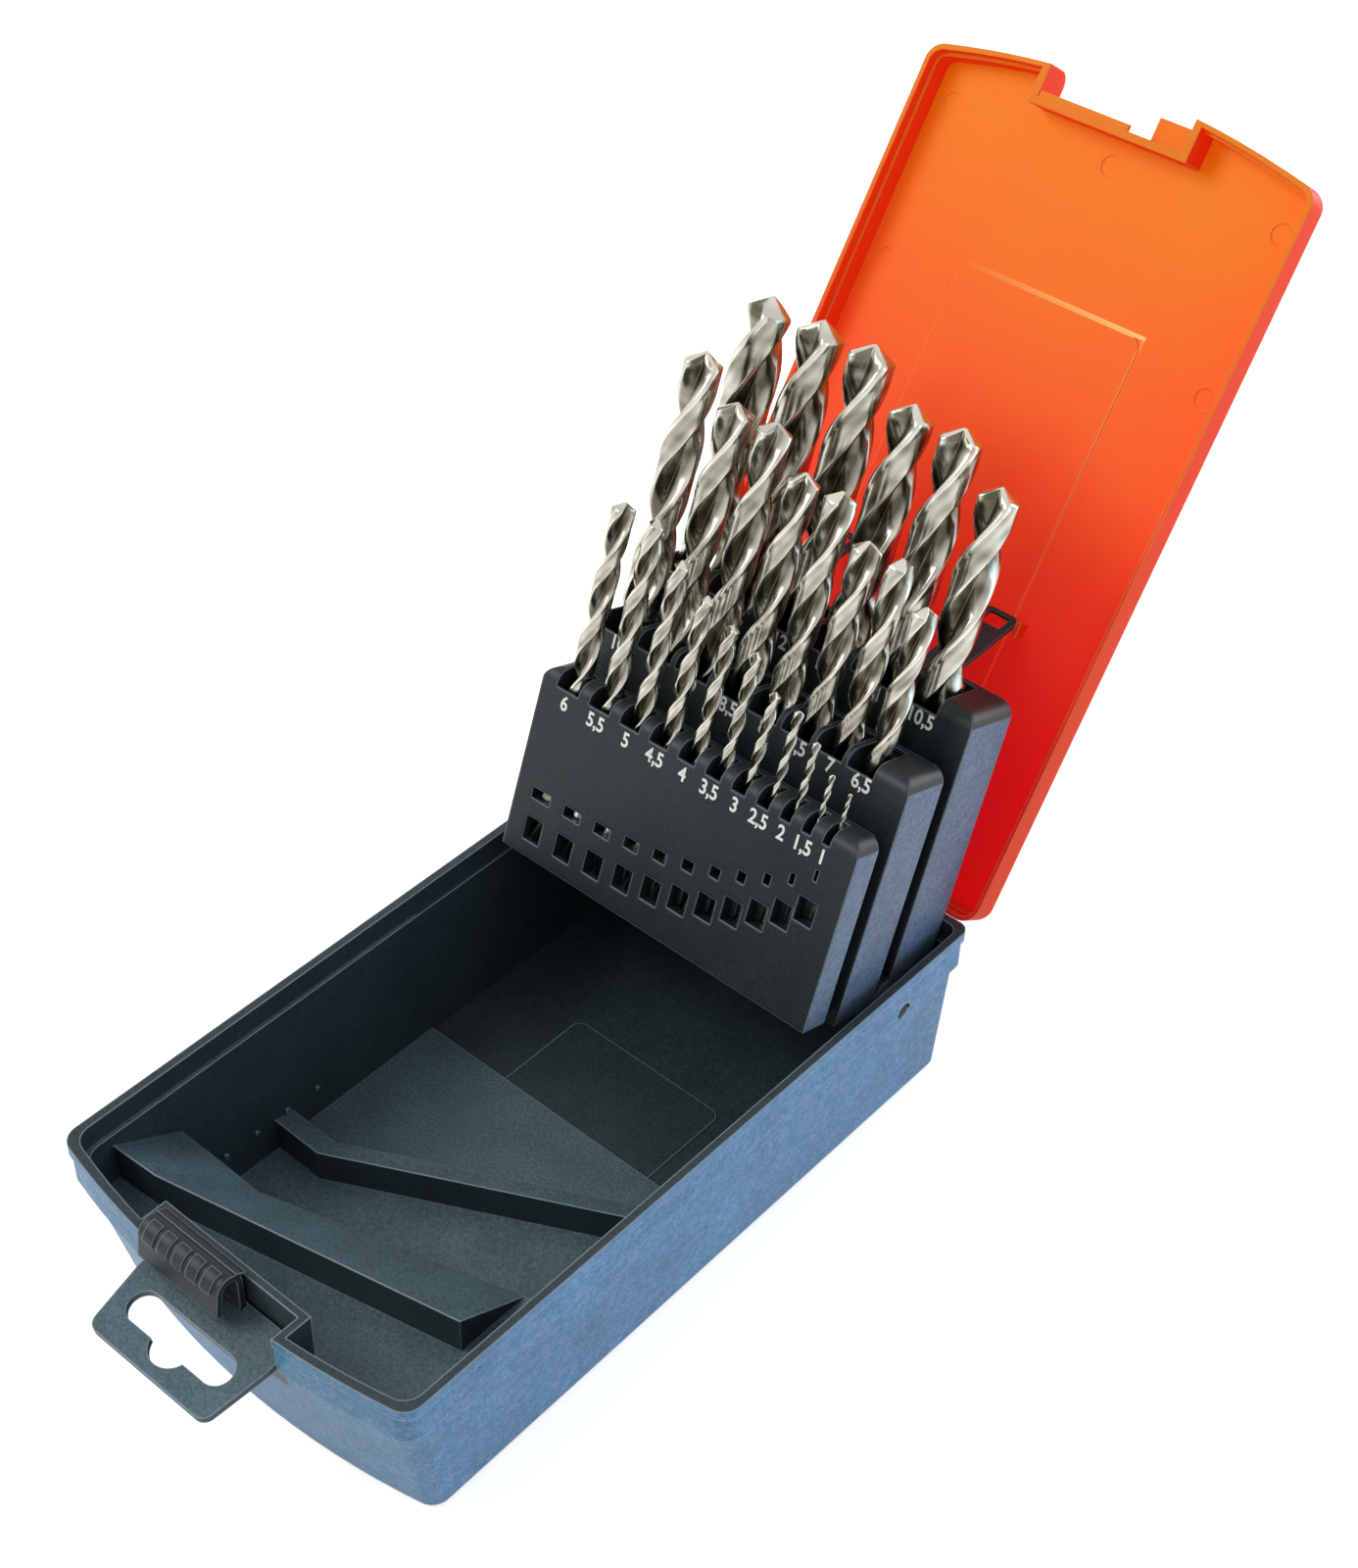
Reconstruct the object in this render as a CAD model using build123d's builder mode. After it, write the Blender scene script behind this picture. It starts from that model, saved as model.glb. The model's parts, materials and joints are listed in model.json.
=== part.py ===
from build123d import *
import math
import os

# Hinged drill bit case, shown open: a bowed tray, a leaning lid and a three-tier rack of bits.
# Millimetres. Origin at the centre of the tray's underside, +X to the right of someone facing
# the latch, -Y towards the latch, +Y towards the hinge, +Z up. Every piece is drawn in the
# open pose, where the lid leans back on its hinge and the rack stands between lid and tray.

# ---------------------------------------------------------------- tray
case_width = 112.0            # across the rim
case_length = 194.0           # hinge wall to the ends of the bowed latch wall
front_bow = 6.6               # rise of the bowed latch wall
base_height = 49.0
wall = 2.2
floor = 2.0
rim_wall = 1.7                # wall above the inner ledge
ledge_drop = 6.5              # inner ledge, below the rim
ledge_width = 1.0
bead_height = 3.0             # thick edge along the rim
bead_proud = 0.5
band_height = 11.5            # upper band, above the outside step
band_step = 1.2               # how far the lower wall sits inside the band
foot_side_inset = 3.3         # draft of the lower wall down to the resting face
foot_front_inset = 9.0
foot_rear_inset = 0.6
corner_front = 5.0
corner_rear = 3.0
foot_round = 1.6              # rounded edge round the resting face

# raised deck behind the latch wall, with a sloping ridge on it; drops are from the rim, and
# reaches from the latch wall's ends
deck_drop = 20.0
deck_left_reach = 29.6        # deck's rear edge at the left wall
deck_kink_x = -25.0
deck_kink_reach = 29.4
deck_end_reach = 49.1         # deck's rear edge at the ridge's right end
deck_skin = 2.2               # thickness over the hollow below the deck
ridge_drop = 9.5
ridge_left_reach = 10.6       # ridge's front edge at the left wall
ridge_kink_x = -39.0
ridge_kink_reach = 11.5
ridge_end_x = 41.5
ridge_end_reach = 29.2

# low rib on the floor, with reaches from the latch wall's ends
rib_top = 11.5
rib_back_top = 10.3
rib_left_reach = 56.0
rib_kink_x = -35.4
rib_kink_reach = 55.8
rib_rise = 0.52               # slope of the rib across the floor, dy/dx
rib_width = 6.0

# plateau and pad on the floor, with reaches from the hinge wall, and pips on the left wall
plateau_step = 1.2
plateau_reach = 84.5
pad_width = 49.0
pad_depth = 46.0
pad_reach = 56.0
pad_proud = 0.3
pip_radius = 0.7
pip_proud = 0.5
pip_level = 12.0
pip_reach = 40.0              # first pip, from the latch wall's ends
pip_pitch = 10.0
pip_count = 4

# latch pocket in the front wall
pocket_left = -22.5
pocket_right = 20.5
pocket_reach = 2.0            # pocket's back wall, behind the latch wall's ends
pocket_drop = 10.4            # pocket's floor at its back wall, below the rim
pocket_wall = 2.0

# hanger plate, drooping forward out of the pocket
hanger_droop = 10.0
hanger_thickness = 2.0
hanger_reach = 26.0           # from the pocket's back wall to the free edge
hanger_root = 9.0             # straight part inside the pocket
hanger_taper = 2.4            # each side, towards the free edge
hanger_corner = 3.0
hanger_gap = 0.3              # to the pocket's walls
hang_slot_width = 32.0
hang_slot_height = 8.0
hang_slot_reach = 15.4        # slot's middle line, from the pocket's back wall
hang_lobe_radius = 5.4
hang_lobe_shift = 2.4

# snap tongue in the pocket
tongue_width = 26.0
tongue_side_gap = 0.9         # to the pocket's left wall
tongue_foot_reach = 2.0       # foot's middle, in front of the pocket's back wall
tongue_foot_radius = 1.0
tongue_foot_rise = 0.3        # foot's middle above the hanger plate
tongue_foot_fit = 0.1
tongue_stem = 1.5
tongue_rise = 3.6             # top of the curl above the rim
tongue_curl = 3.6             # outer radius of the curl
tongue_lip_drop = 6.0         # front lip, below the curl's middle
tongue_lip_lean = 0.9
tongue_barb = 1.5             # barb's reach behind the stem
tongue_barb_rise = 1.6        # barb's underside above the rim
tongue_barb_height = 1.7
tongue_rib_count = 5
tongue_rib_pitch = 4.7
tongue_rib_width = 3.3
tongue_rib_proud = 0.5

# ---------------------------------------------------------------- lid
lid_depth = 11.0
lid_wall = 2.0
lid_mouth_wall = 1.2          # thinner wall at the rim
lid_mouth_depth = 3.0
lid_gap = 0.2                 # rim to rim when shut
lid_short = 0.8               # lid stops short of the tray's latch wall
lid_edge_radius = 4.0
lid_lean = 34.4               # back from upright when open
notch_left = -22.0
notch_right = 20.0
notch_depth = 2.7             # notch's wall, behind the lid's ends
tab_left = 6.8
tab_right = 19.6
tab_proud = 3.8               # past the lid's ends
catch_proud = 1.6
catch_height = 1.1
catch_level = 0.3             # above the tray's rim when shut
label_width = 55.0
label_length = 97.0
label_shift = 1.9             # from the lid's middle, towards the latch
label_proud = 0.4
label_corner = 4.0
mark_radius = 2.7             # ejector marks
mark_depth = 0.25
mark_inset = 11.2             # marks by the latch edge, from the lid's ends
side_mark_inset = 53.2

# ---------------------------------------------------------------- hinge
hinge_inset = 24.0            # middle of each hinge from the tray's side
knuckle_radius = 2.8
knuckle_length = 8.0
lug_length = 6.0
hinge_gap = 0.3               # between knuckle and lug
hinge_relief = 0.5            # round the knuckles
hinge_pin_radius = 1.25
running_fit = 0.05

# ---------------------------------------------------------------- rack
rack_lean = 19.5              # back from upright when open
pivot_setback = 25.0          # pivot line ahead of the hinge line
pivot_drop = 11.0             # pivot line below the rim
pivot_pin_radius = 2.4
rack_side_gap = 6.7           # rack's ends to the tray's rim
rear_face = 17.5              # rack's back, behind the pivot line
rear_thickness = 18.0
rear_gap = 5.5
rear_axis_shift = 0.6         # rear bits stand forward of their tier's middle
middle_thickness = 15.0
front_gap = 5.9
front_thickness = 8.6
front_top = 53.0
middle_top = 66.0
rear_top = 78.7
front_bottom = 2.0
middle_bottom = -1.0
rear_bottom = -6.5
web_height = 7.0
tier_front_round = 3.6
tier_end_round = 4.0
ear_thickness = 3.0
ear_radius = 5.8
boss_radius = 4.5
boss_length = 2.6
pin_length = 8.6

# sockets and windows
socket_fit = 0.1              # radial clearance round a shank
lip_drop = 4.2                # mouth's floor, below the tier's top
mouth_side = 0.6              # mouth wider than the bit, each side
mouth_back = 2.0              # wall left behind the mouths
lip_wall = 0.8                # thin lip in front of a bit
well_depth = 6.0              # well behind the lip
window_height = 6.6
window_width = 5.4
upper_window_rise = 11.6
upper_window_height = 3.0
rear_slot_drop = 6.5
rear_slot_height = 9.0
top_slot_drop = 0.8
top_slot_height = 1.8
top_slot_width = 5.0

# ---------------------------------------------------------------- link straps
strap_inset = 24.3            # each strap's middle from the rack's end
strap_width = 10.0
strap_thickness = 1.0
strap_reach = 31.5            # root's axis to the free end
strap_rise = 2.4              # above level, when open
strap_corner = 2.0
strap_root_inset = 1.1        # root's axis, in front of the rack's back
strap_root_drop = 3.7         # root's axis, below the rear tier's top
strap_bead_radius = 0.9
strap_trunnion_radius = 0.6
strap_trunnion_length = 1.5
strap_gap = 0.3
strap_end_bar = 1.3
strap_loop_width = 6.0
strap_loop_length = 5.0
recess_depth = 2.3
recess_length = 36.0
cheek_reach = 70.5            # hinge line to the lid's cheeks, either side of a strap's end
cheek_thickness = 1.4
cheek_length = 4.0
cheek_height = 4.4
cheek_clearance = 0.4         # round the cheeks in the shut rack

# ---------------------------------------------------------------- bits
shank_chamfer = 0.3
point_angle = 118.0
point_flat = 0.01             # flat of the point, over the diameter
front_largest = 6.0           # largest bit of the front tier
middle_largest = 10.0
front_first_inset = 8.3       # middle of a tier's first bit, from the rack's left end
front_last_inset = 9.1        # middle of its last bit, from the right end
middle_first_inset = 7.8
middle_last_inset = 14.08
rear_first_inset = 8.0
rear_last_inset = 15.85
front_socket_depth = 46.8     # of the tier's largest bit
front_socket_step = 0.85      # shallower with the square of the size below the largest
middle_socket_depth = 63.3
rear_socket_depth = 81.7

# overall lengths of short parallel-shank twist drills, by diameter
bit_length = {
    1.0: 34, 1.5: 40, 2.0: 49, 2.5: 57, 3.0: 61, 3.5: 70, 4.0: 75, 4.5: 80, 5.0: 86,
    5.5: 93, 6.0: 93, 6.5: 101, 7.0: 109, 7.5: 109, 8.0: 117, 8.5: 117, 9.0: 125,
    9.5: 125, 10.0: 133, 10.5: 133, 11.0: 142, 11.5: 142, 12.0: 151, 12.5: 151, 13.0: 151,
}

# ---------------------------------------------------------------- derived
half_width = case_width / 2
front_y = -case_length / 2
rear_y = case_length / 2
step_z = base_height - band_height
ledge_z = base_height - ledge_drop
deck_top = base_height - deck_drop
ridge_top = base_height - ridge_drop
deck_left_y = front_y + deck_left_reach
deck_kink_y = front_y + deck_kink_reach
deck_end_y = front_y + deck_end_reach
ridge_left_y = front_y + ridge_left_reach
ridge_kink_y = front_y + ridge_kink_reach
ridge_end_y = front_y + ridge_end_reach
rib_left_y = front_y + rib_left_reach
rib_kink_y = front_y + rib_kink_reach
plateau_rear_y = rear_y - plateau_reach
pad_rear_y = rear_y - pad_reach
pip_first_y = front_y + pip_reach
pocket_back_y = front_y + pocket_reach
pocket_floor = base_height - pocket_drop
hinge_spread = half_width - hinge_inset
pivot_y = rear_y - pivot_setback
pivot_z = base_height - pivot_drop
rack_half_width = half_width - rack_side_gap
strap_offset = rack_half_width - strap_inset


def tilted(origin, lean):
    """Plane whose local x is +X and whose local y leans back from +Z, so it faces forward."""
    angle = math.radians(lean)
    return Plane(origin=origin, x_dir=(1, 0, 0), z_dir=(0, -math.cos(angle), math.sin(angle)))


lid_plane = tilted((0, rear_y, base_height), lid_lean)
rack_plane = tilted((0, pivot_y, pivot_z), rack_lean)


def side_plane(frame, x):
    """Plane across a leaning frame at x: local x runs up the frame, local y in front of it."""
    return Plane(origin=frame.from_local_coords((x, 0, 0)), x_dir=frame.y_dir, z_dir=(1, 0, 0))


def wall_inset(level):
    """Inset of the lower wall's outer face at a level: side, front, rear."""
    draft = 1 - level / step_z
    return [band_step + bead_proud + draft * inset
            for inset in (foot_side_inset - band_step, foot_front_inset - band_step, foot_rear_inset)]


def bowed_face(half, hinge_end, latch_end, latch_round, hinge_round):
    """Flat rectangle whose latch end bulges outward, its corners rounded."""
    bulge = latch_end + math.copysign(front_bow, latch_end - hinge_end)
    with BuildSketch() as face:
        with BuildLine():
            ThreePointArc((-half, latch_end), (0, bulge), (half, latch_end))
            Polyline((half, latch_end), (half, hinge_end), (-half, hinge_end), (-half, latch_end))
        make_face()
        by_distance = face.vertices().sort_by(lambda corner: abs(corner.Y - hinge_end))
        fillet(by_distance[2:], latch_round)
        by_distance = face.vertices().sort_by(lambda corner: abs(corner.Y - hinge_end))
        fillet(by_distance[:2], hinge_round)
    return face.sketch


def tray_outline(level, side, front, rear, inset=0.0):
    """The tray's outline at a level, set in from the rim on each side."""
    with BuildSketch(Plane.XY.offset(level)) as outline:
        add(bowed_face(half_width - side - inset, rear_y - rear - inset, front_y + front + inset,
                       corner_front, corner_rear))
    return outline.sketch


def cross_ridge(stations, mode):
    """Ridge across the tray through stations of x, front y, rear y, bottom, front top, rear top."""
    sections = []
    for x, front, rear, low, front_level, rear_level in stations:
        with BuildSketch(Plane.YZ.offset(x)) as section:
            Polygon((front, low), (front, front_level), (rear, rear_level), (rear, low), align=None)
        sections.append(section.sketch)
    for section, following in zip(sections, sections[1:]):
        loft([section, following], mode=mode)


# ---------------------------------------------------------------- tray
pocket_middle = (pocket_left + pocket_right) / 2
pocket_width = pocket_right - pocket_left
droop = math.radians(hanger_droop)
hanger_plane = Plane(origin=(pocket_middle, pocket_back_y, pocket_floor), x_dir=(1, 0, 0),
                     z_dir=(0, -math.sin(droop), math.cos(droop)))
housing_floor = pocket_floor - pocket_wall - hanger_root * math.sin(droop)
ridge_slope = (ridge_end_y - ridge_kink_y) / (ridge_end_x - ridge_kink_x)
deck_slope = (deck_end_y - deck_kink_y) / (ridge_end_x - deck_kink_x)


def deck_plan(inset):
    """Plan of the deck behind the latch wall, its rear edge moved forward by an inset."""
    far = half_width
    Polygon((-far, front_y - 2 * front_bow), (far, front_y - 2 * front_bow),
            (far, deck_end_y + (far - ridge_end_x) * deck_slope - inset),
            (deck_kink_x, deck_kink_y - inset), (-far, deck_left_y - inset), align=None)


# the tray's hollow, as the mould's core
with BuildPart() as tray_core:
    ledge_inset = bead_proud + rim_wall + ledge_width
    mouth_inset = bead_proud + rim_wall
    loft([tray_outline(floor, *wall_inset(floor), inset=wall),
          tray_outline(ledge_z, 0, 0, 0, inset=ledge_inset)])
    extrude(tray_outline(ledge_z, 0, 0, 0, inset=mouth_inset), amount=ledge_drop + bead_height)
    # deck and its sloping ridge
    with BuildSketch(Plane.XY):
        deck_plan(0)
    extrude(amount=deck_top, mode=Mode.SUBTRACT)
    deck_kink_front = ridge_kink_y + (deck_kink_x - ridge_kink_x) * ridge_slope
    cross_ridge([(-half_width, ridge_left_y, deck_left_y, floor, ridge_top, deck_top),
                 (ridge_kink_x, ridge_kink_y, deck_left_y, floor, ridge_top, deck_top),
                 (deck_kink_x, deck_kink_front, deck_kink_y, floor, ridge_top, deck_top),
                 (ridge_end_x, ridge_end_y, deck_end_y, floor, ridge_top, deck_top)], Mode.SUBTRACT)
    # low rib across the floor, and the plateau behind it
    rib_end_y = rib_kink_y + (half_width - rib_kink_x) * rib_rise
    cross_ridge([(-half_width, rib_left_y, rib_left_y + rib_width, 0, rib_top, rib_back_top),
                 (rib_kink_x, rib_kink_y, rib_kink_y + rib_width, 0, rib_top, rib_back_top),
                 (half_width, rib_end_y, rib_end_y + rib_width, 0, rib_top, rib_back_top)],
                Mode.SUBTRACT)
    with BuildSketch(Plane.XY):
        Polygon((-half_width, rib_left_y), (rib_kink_x, rib_kink_y), (half_width, rib_end_y),
                (half_width, max(plateau_rear_y, rib_end_y)), (-half_width, plateau_rear_y), align=None)
    extrude(amount=floor + plateau_step, mode=Mode.SUBTRACT)
    # housing of the latch pocket
    with BuildSketch(Plane.XY.offset(housing_floor)):
        with Locations((pocket_middle, pocket_back_y + pocket_wall)):
            Rectangle(pocket_width + 2 * pocket_wall, -front_y, align=(Align.CENTER, Align.MAX))
    extrude(amount=base_height - housing_floor + bead_height, mode=Mode.SUBTRACT)

# hollow under the deck, open below
with BuildPart() as deck_hollow:
    loft([tray_outline(level, *wall_inset(level), inset=wall) for level in (0, deck_top - deck_skin)])
    with BuildSketch(Plane.XY):
        deck_plan(wall)
    extrude(amount=deck_top, mode=Mode.INTERSECT)

with BuildPart() as base_tray:
    loft([tray_outline(level, *wall_inset(level)) for level in (0, step_z)])
    fillet(base_tray.faces().sort_by(Axis.Z)[0].edges(), foot_round)
    extrude(tray_outline(step_z, 0, 0, 0, inset=bead_proud), amount=band_height)
    extrude(tray_outline(base_height - bead_height, 0, 0, 0), amount=bead_height)
    add(tray_core.part, mode=Mode.SUBTRACT)
    add(deck_hollow.part, mode=Mode.SUBTRACT)
    # open front of the latch pocket, its floor sloping with the hanger plate
    with BuildSketch(hanger_plane):
        Rectangle(pocket_width, hanger_reach, align=(Align.CENTER, Align.MAX))
    extrude(amount=base_height, dir=(0, 0, 1), mode=Mode.SUBTRACT)
    # pivot holes for the rack
    with BuildSketch(Plane.YZ):
        with Locations((pivot_y, pivot_z)):
            Circle(pivot_pin_radius + running_fit)
    extrude(amount=case_width, both=True, mode=Mode.SUBTRACT)
    # hinge lugs, with room between them for the lid's knuckles
    for hinge_x in (-hinge_spread, hinge_spread):
        for side in (-1, 1):
            lug_x = hinge_x + side * (knuckle_length / 2 + hinge_gap + lug_length / 2)
            with BuildSketch(Plane.YZ.offset(lug_x)):
                with Locations((rear_y, base_height)):
                    Circle(knuckle_radius)
            extrude(amount=lug_length / 2, both=True)
        with BuildSketch(Plane.YZ.offset(hinge_x)):
            with Locations((rear_y, base_height)):
                Circle(knuckle_radius + hinge_relief)
        extrude(amount=knuckle_length / 2 + hinge_gap, both=True, mode=Mode.SUBTRACT)
        with BuildSketch(Plane.YZ.offset(hinge_x)):
            with Locations((rear_y, base_height)):
                Circle(hinge_pin_radius)
        extrude(amount=knuckle_length / 2 + hinge_gap + lug_length, both=True, mode=Mode.SUBTRACT)
    # row of pips along the left wall, and the round-cornered pad on the floor
    for index in range(pip_count):
        with BuildSketch(Plane.YZ.offset(-half_width + wall)):
            with Locations((pip_first_y + index * pip_pitch, pip_level)):
                Circle(pip_radius)
        wall_reach = wall_inset(pip_level)[0] + pip_proud
        extrude(amount=wall_reach)
    with BuildSketch(Plane.XY.offset(floor)):
        with Locations((0, pad_rear_y)):
            RectangleRounded(pad_width, pad_depth, corner_rear, align=(Align.CENTER, Align.MAX))
    extrude(amount=pad_proud)


# ---------------------------------------------------------------- hanger plate and snap tongue
tongue_left = pocket_left + tongue_side_gap
foot_y = pocket_back_y - tongue_foot_reach
foot_z = (pocket_floor + hanger_thickness / math.cos(droop)
          - tongue_foot_reach * math.tan(droop) + tongue_foot_rise)

with BuildPart() as hanger_plate:
    with BuildSketch(hanger_plane) as plate_outline:
        root_half = pocket_width / 2 - hanger_gap
        tip_half = root_half - hanger_taper
        Polygon((-root_half, -hanger_gap), (-root_half, -hanger_root), (-tip_half, -hanger_reach),
                (tip_half, -hanger_reach), (root_half, -hanger_root), (root_half, -hanger_gap), align=None)
        fillet(plate_outline.vertices().group_by(Axis.Y)[0], hanger_corner)
        with Locations((0, -hang_slot_reach)):
            SlotOverall(hang_slot_width, hang_slot_height, mode=Mode.SUBTRACT)
        with Locations((0, -hang_slot_reach - hang_lobe_shift)):
            Circle(hang_lobe_radius, mode=Mode.SUBTRACT)
    extrude(amount=hanger_thickness)
    # groove that the tongue's foot rocks in
    with BuildSketch(Plane.YZ.offset(tongue_left - hanger_gap)):
        with Locations((foot_y, foot_z)):
            Circle(tongue_foot_radius + tongue_foot_fit)
    extrude(amount=tongue_width + 2 * hanger_gap, mode=Mode.SUBTRACT)

with BuildPart() as snap_tongue:
    curl_z = base_height + tongue_rise - tongue_curl
    stem_rear = foot_y + tongue_stem / 2
    curl_y = stem_rear - tongue_curl
    with BuildSketch(Plane.YZ.offset(tongue_left)):
        with Locations((foot_y, foot_z)):
            Circle(tongue_foot_radius)
        with Locations((foot_y, foot_z)):
            Rectangle(tongue_stem, curl_z - foot_z, align=(Align.CENTER, Align.MIN))
        # curl over the top, then a lip leaning forward and down
        with BuildLine():
            inner = tongue_curl - tongue_stem
            lip_y = curl_y - tongue_curl - tongue_lip_lean
            ThreePointArc((curl_y + tongue_curl, curl_z), (curl_y, curl_z + tongue_curl),
                          (curl_y - tongue_curl, curl_z))
            Polyline((curl_y - tongue_curl, curl_z), (lip_y, curl_z - tongue_lip_drop),
                     (lip_y + tongue_stem, curl_z - tongue_lip_drop), (curl_y - inner, curl_z))
            ThreePointArc((curl_y - inner, curl_z), (curl_y, curl_z + inner), (curl_y + inner, curl_z))
            Line((curl_y + inner, curl_z), (curl_y + tongue_curl, curl_z))
        make_face()
        # barb that holds the lid's catch down
        barb_z = base_height + tongue_barb_rise
        Polygon((curl_y + inner, barb_z), (stem_rear + tongue_barb, barb_z),
                (curl_y + inner, barb_z + tongue_barb_height), align=None)
    extrude(amount=tongue_width)
    # grip ribs over the curl
    first_rib = tongue_left + (tongue_width - (tongue_rib_count - 1) * tongue_rib_pitch) / 2
    for index in range(tongue_rib_count):
        with BuildSketch(Plane.YZ.offset(first_rib + index * tongue_rib_pitch)):
            with BuildLine():
                outer = tongue_curl + tongue_rib_proud
                ThreePointArc((curl_y, curl_z + outer), (curl_y - outer * math.sqrt(0.5),
                              curl_z + outer * math.sqrt(0.5)), (curl_y - outer, curl_z))
                Polyline((curl_y - outer, curl_z), (curl_y - inner, curl_z), (curl_y, curl_z + inner),
                         (curl_y, curl_z + outer))
            make_face()
        extrude(amount=tongue_rib_width / 2, both=True)


# ---------------------------------------------------------------- lid
# On the lid's plane, local y runs from the hinge line to the latch edge, and local z points
# into the lid, so its outer face lies at a negative offset.
lid_length = case_length - lid_short
notch_reach = lid_length - notch_depth
cheek_offset = strap_width / 2 + strap_gap + cheek_thickness / 2
rim_plane = lid_plane.offset(-lid_gap)
ceiling_plane = lid_plane.offset(-lid_gap - lid_depth + lid_wall)

with BuildPart() as lid:
    with BuildSketch(rim_plane):
        add(bowed_face(half_width, 0, lid_length, corner_front, corner_front))
    extrude(amount=-lid_depth)
    fillet(lid.faces().sort_by(Axis((0, 0, 0), lid_plane.z_dir))[0].edges(), lid_edge_radius)
    # recess in the latch edge for the snap tongue
    notch_middle = (notch_left + notch_right) / 2
    notch_width = notch_right - notch_left
    with BuildSketch(rim_plane):
        with Locations((notch_middle, notch_reach)):
            Rectangle(notch_width, lid_depth * 2, align=(Align.CENTER, Align.MIN))
    extrude(amount=-lid_depth, mode=Mode.SUBTRACT)
    # hollow, leaving a wall round the recess
    for thickness, depth in ((lid_wall, lid_depth - lid_wall), (lid_mouth_wall, lid_mouth_depth)):
        with BuildSketch(rim_plane):
            inner_round = corner_front - thickness
            add(bowed_face(half_width - thickness, thickness, lid_length - thickness,
                           inner_round, inner_round))
            with Locations((notch_middle, notch_reach - lid_wall)):
                Rectangle(notch_width + 2 * lid_wall, lid_depth * 2, align=(Align.CENTER, Align.MIN),
                          mode=Mode.SUBTRACT)
        extrude(amount=-depth, mode=Mode.SUBTRACT)
    # thumb tab level with the lid's outer face
    with BuildSketch(ceiling_plane):
        with Locations(((tab_left + tab_right) / 2, notch_reach - lid_wall)):
            Rectangle(tab_right - tab_left, tab_proud + notch_depth + lid_wall,
                      align=(Align.CENTER, Align.MIN))
    extrude(amount=-lid_wall)
    # catch under the snap tongue's barb
    with BuildSketch(lid_plane.offset(-catch_level)):
        with Locations((tongue_left, notch_reach)):
            Rectangle(tongue_width, catch_proud, align=(Align.MIN, Align.MIN))
    extrude(amount=-catch_height)
    # label panel, cheeks beside the straps' ends and ejector marks on the ceiling
    with BuildSketch(ceiling_plane):
        with Locations((0, lid_length / 2 + label_shift)):
            RectangleRounded(label_width, label_length, label_corner)
    extrude(amount=label_proud)
    with BuildSketch(ceiling_plane):
        for strap_x in (-strap_offset, strap_offset):
            with Locations((strap_x - cheek_offset, cheek_reach), (strap_x + cheek_offset, cheek_reach)):
                Rectangle(cheek_thickness, cheek_length)
    extrude(amount=cheek_height)
    with BuildSketch(ceiling_plane):
        mark_x = half_width - lid_wall - 2 * mark_radius
        for inset, places in ((mark_inset, (-mark_x, 0, mark_x)), (side_mark_inset, (-mark_x, mark_x))):
            with Locations([(place, lid_length - inset) for place in places]):
                Circle(mark_radius)
    extrude(amount=-mark_depth, mode=Mode.SUBTRACT)
    # hinge knuckles, with room beside them for the tray's lugs
    for hinge_x in (-hinge_spread, hinge_spread):
        for side in (-1, 1):
            lug_x = hinge_x + side * (knuckle_length / 2 + hinge_gap + lug_length / 2)
            with BuildSketch(side_plane(lid_plane, lug_x)):
                Circle(knuckle_radius + hinge_relief)
            extrude(amount=lug_length / 2 + hinge_gap, both=True, mode=Mode.SUBTRACT)
        with BuildSketch(side_plane(lid_plane, hinge_x)):
            Circle(knuckle_radius)
        extrude(amount=knuckle_length / 2, both=True)
        with BuildSketch(side_plane(lid_plane, hinge_x)):
            Circle(hinge_pin_radius + running_fit)
        extrude(amount=knuckle_length / 2, both=True, mode=Mode.SUBTRACT)


def hinge_pin(hinge_x):
    """Pin through one pair of lugs and the knuckle between them."""
    with BuildPart() as pin:
        with BuildSketch(Plane.YZ.offset(hinge_x)):
            with Locations((rear_y, base_height)):
                Circle(hinge_pin_radius)
        extrude(amount=knuckle_length / 2 + hinge_gap + lug_length, both=True)
    return pin.part


# ---------------------------------------------------------------- rack
# On the rack's plane, local y runs up the rack from its pivot line, and local z points forward,
# so a face that lies n behind the pivot line has the offset -n.
middle_back = rear_face - rear_thickness - rear_gap
front_back = middle_back - middle_thickness - front_gap
rear_axis = rear_face - rear_thickness / 2 - rear_axis_shift
middle_axis = middle_back - middle_thickness / 2
front_axis = front_back - front_thickness / 2
strap_root_n = rear_face - strap_root_inset
strap_root_u = rear_top - strap_root_drop


def row(sizes, first_inset, last_inset, depth, step=0.0):
    """Bits of one tier from the left, evenly apart: size, place across the rack, socket depth."""
    sizes = sorted(sizes, reverse=True)
    places = []
    x = first_inset - rack_half_width
    spread = 2 * rack_half_width - first_inset - last_inset
    web = (spread - sum(sizes) + (sizes[0] + sizes[-1]) / 2) / (len(sizes) - 1)
    for size, following in zip(sizes, sizes[1:] + sizes[-1:]):
        places.append((size, x, depth - step * (sizes[0] - size) ** 2))
        x += (size + following) / 2 + web
    return places


front_row = row([size for size in bit_length if size <= front_largest],
                front_first_inset, front_last_inset, front_socket_depth, front_socket_step)
middle_row = row([size for size in bit_length if front_largest < size <= middle_largest],
                 middle_first_inset, middle_last_inset, middle_socket_depth)
rear_row = row([size for size in bit_length if size > middle_largest],
               rear_first_inset, rear_last_inset, rear_socket_depth)


def up_plane(x, up, behind):
    """Plane square to the rack's height at a point of it, facing up the rack."""
    return Plane(origin=rack_plane.from_local_coords((x, up, -behind)), x_dir=(1, 0, 0),
                 z_dir=rack_plane.y_dir)


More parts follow.
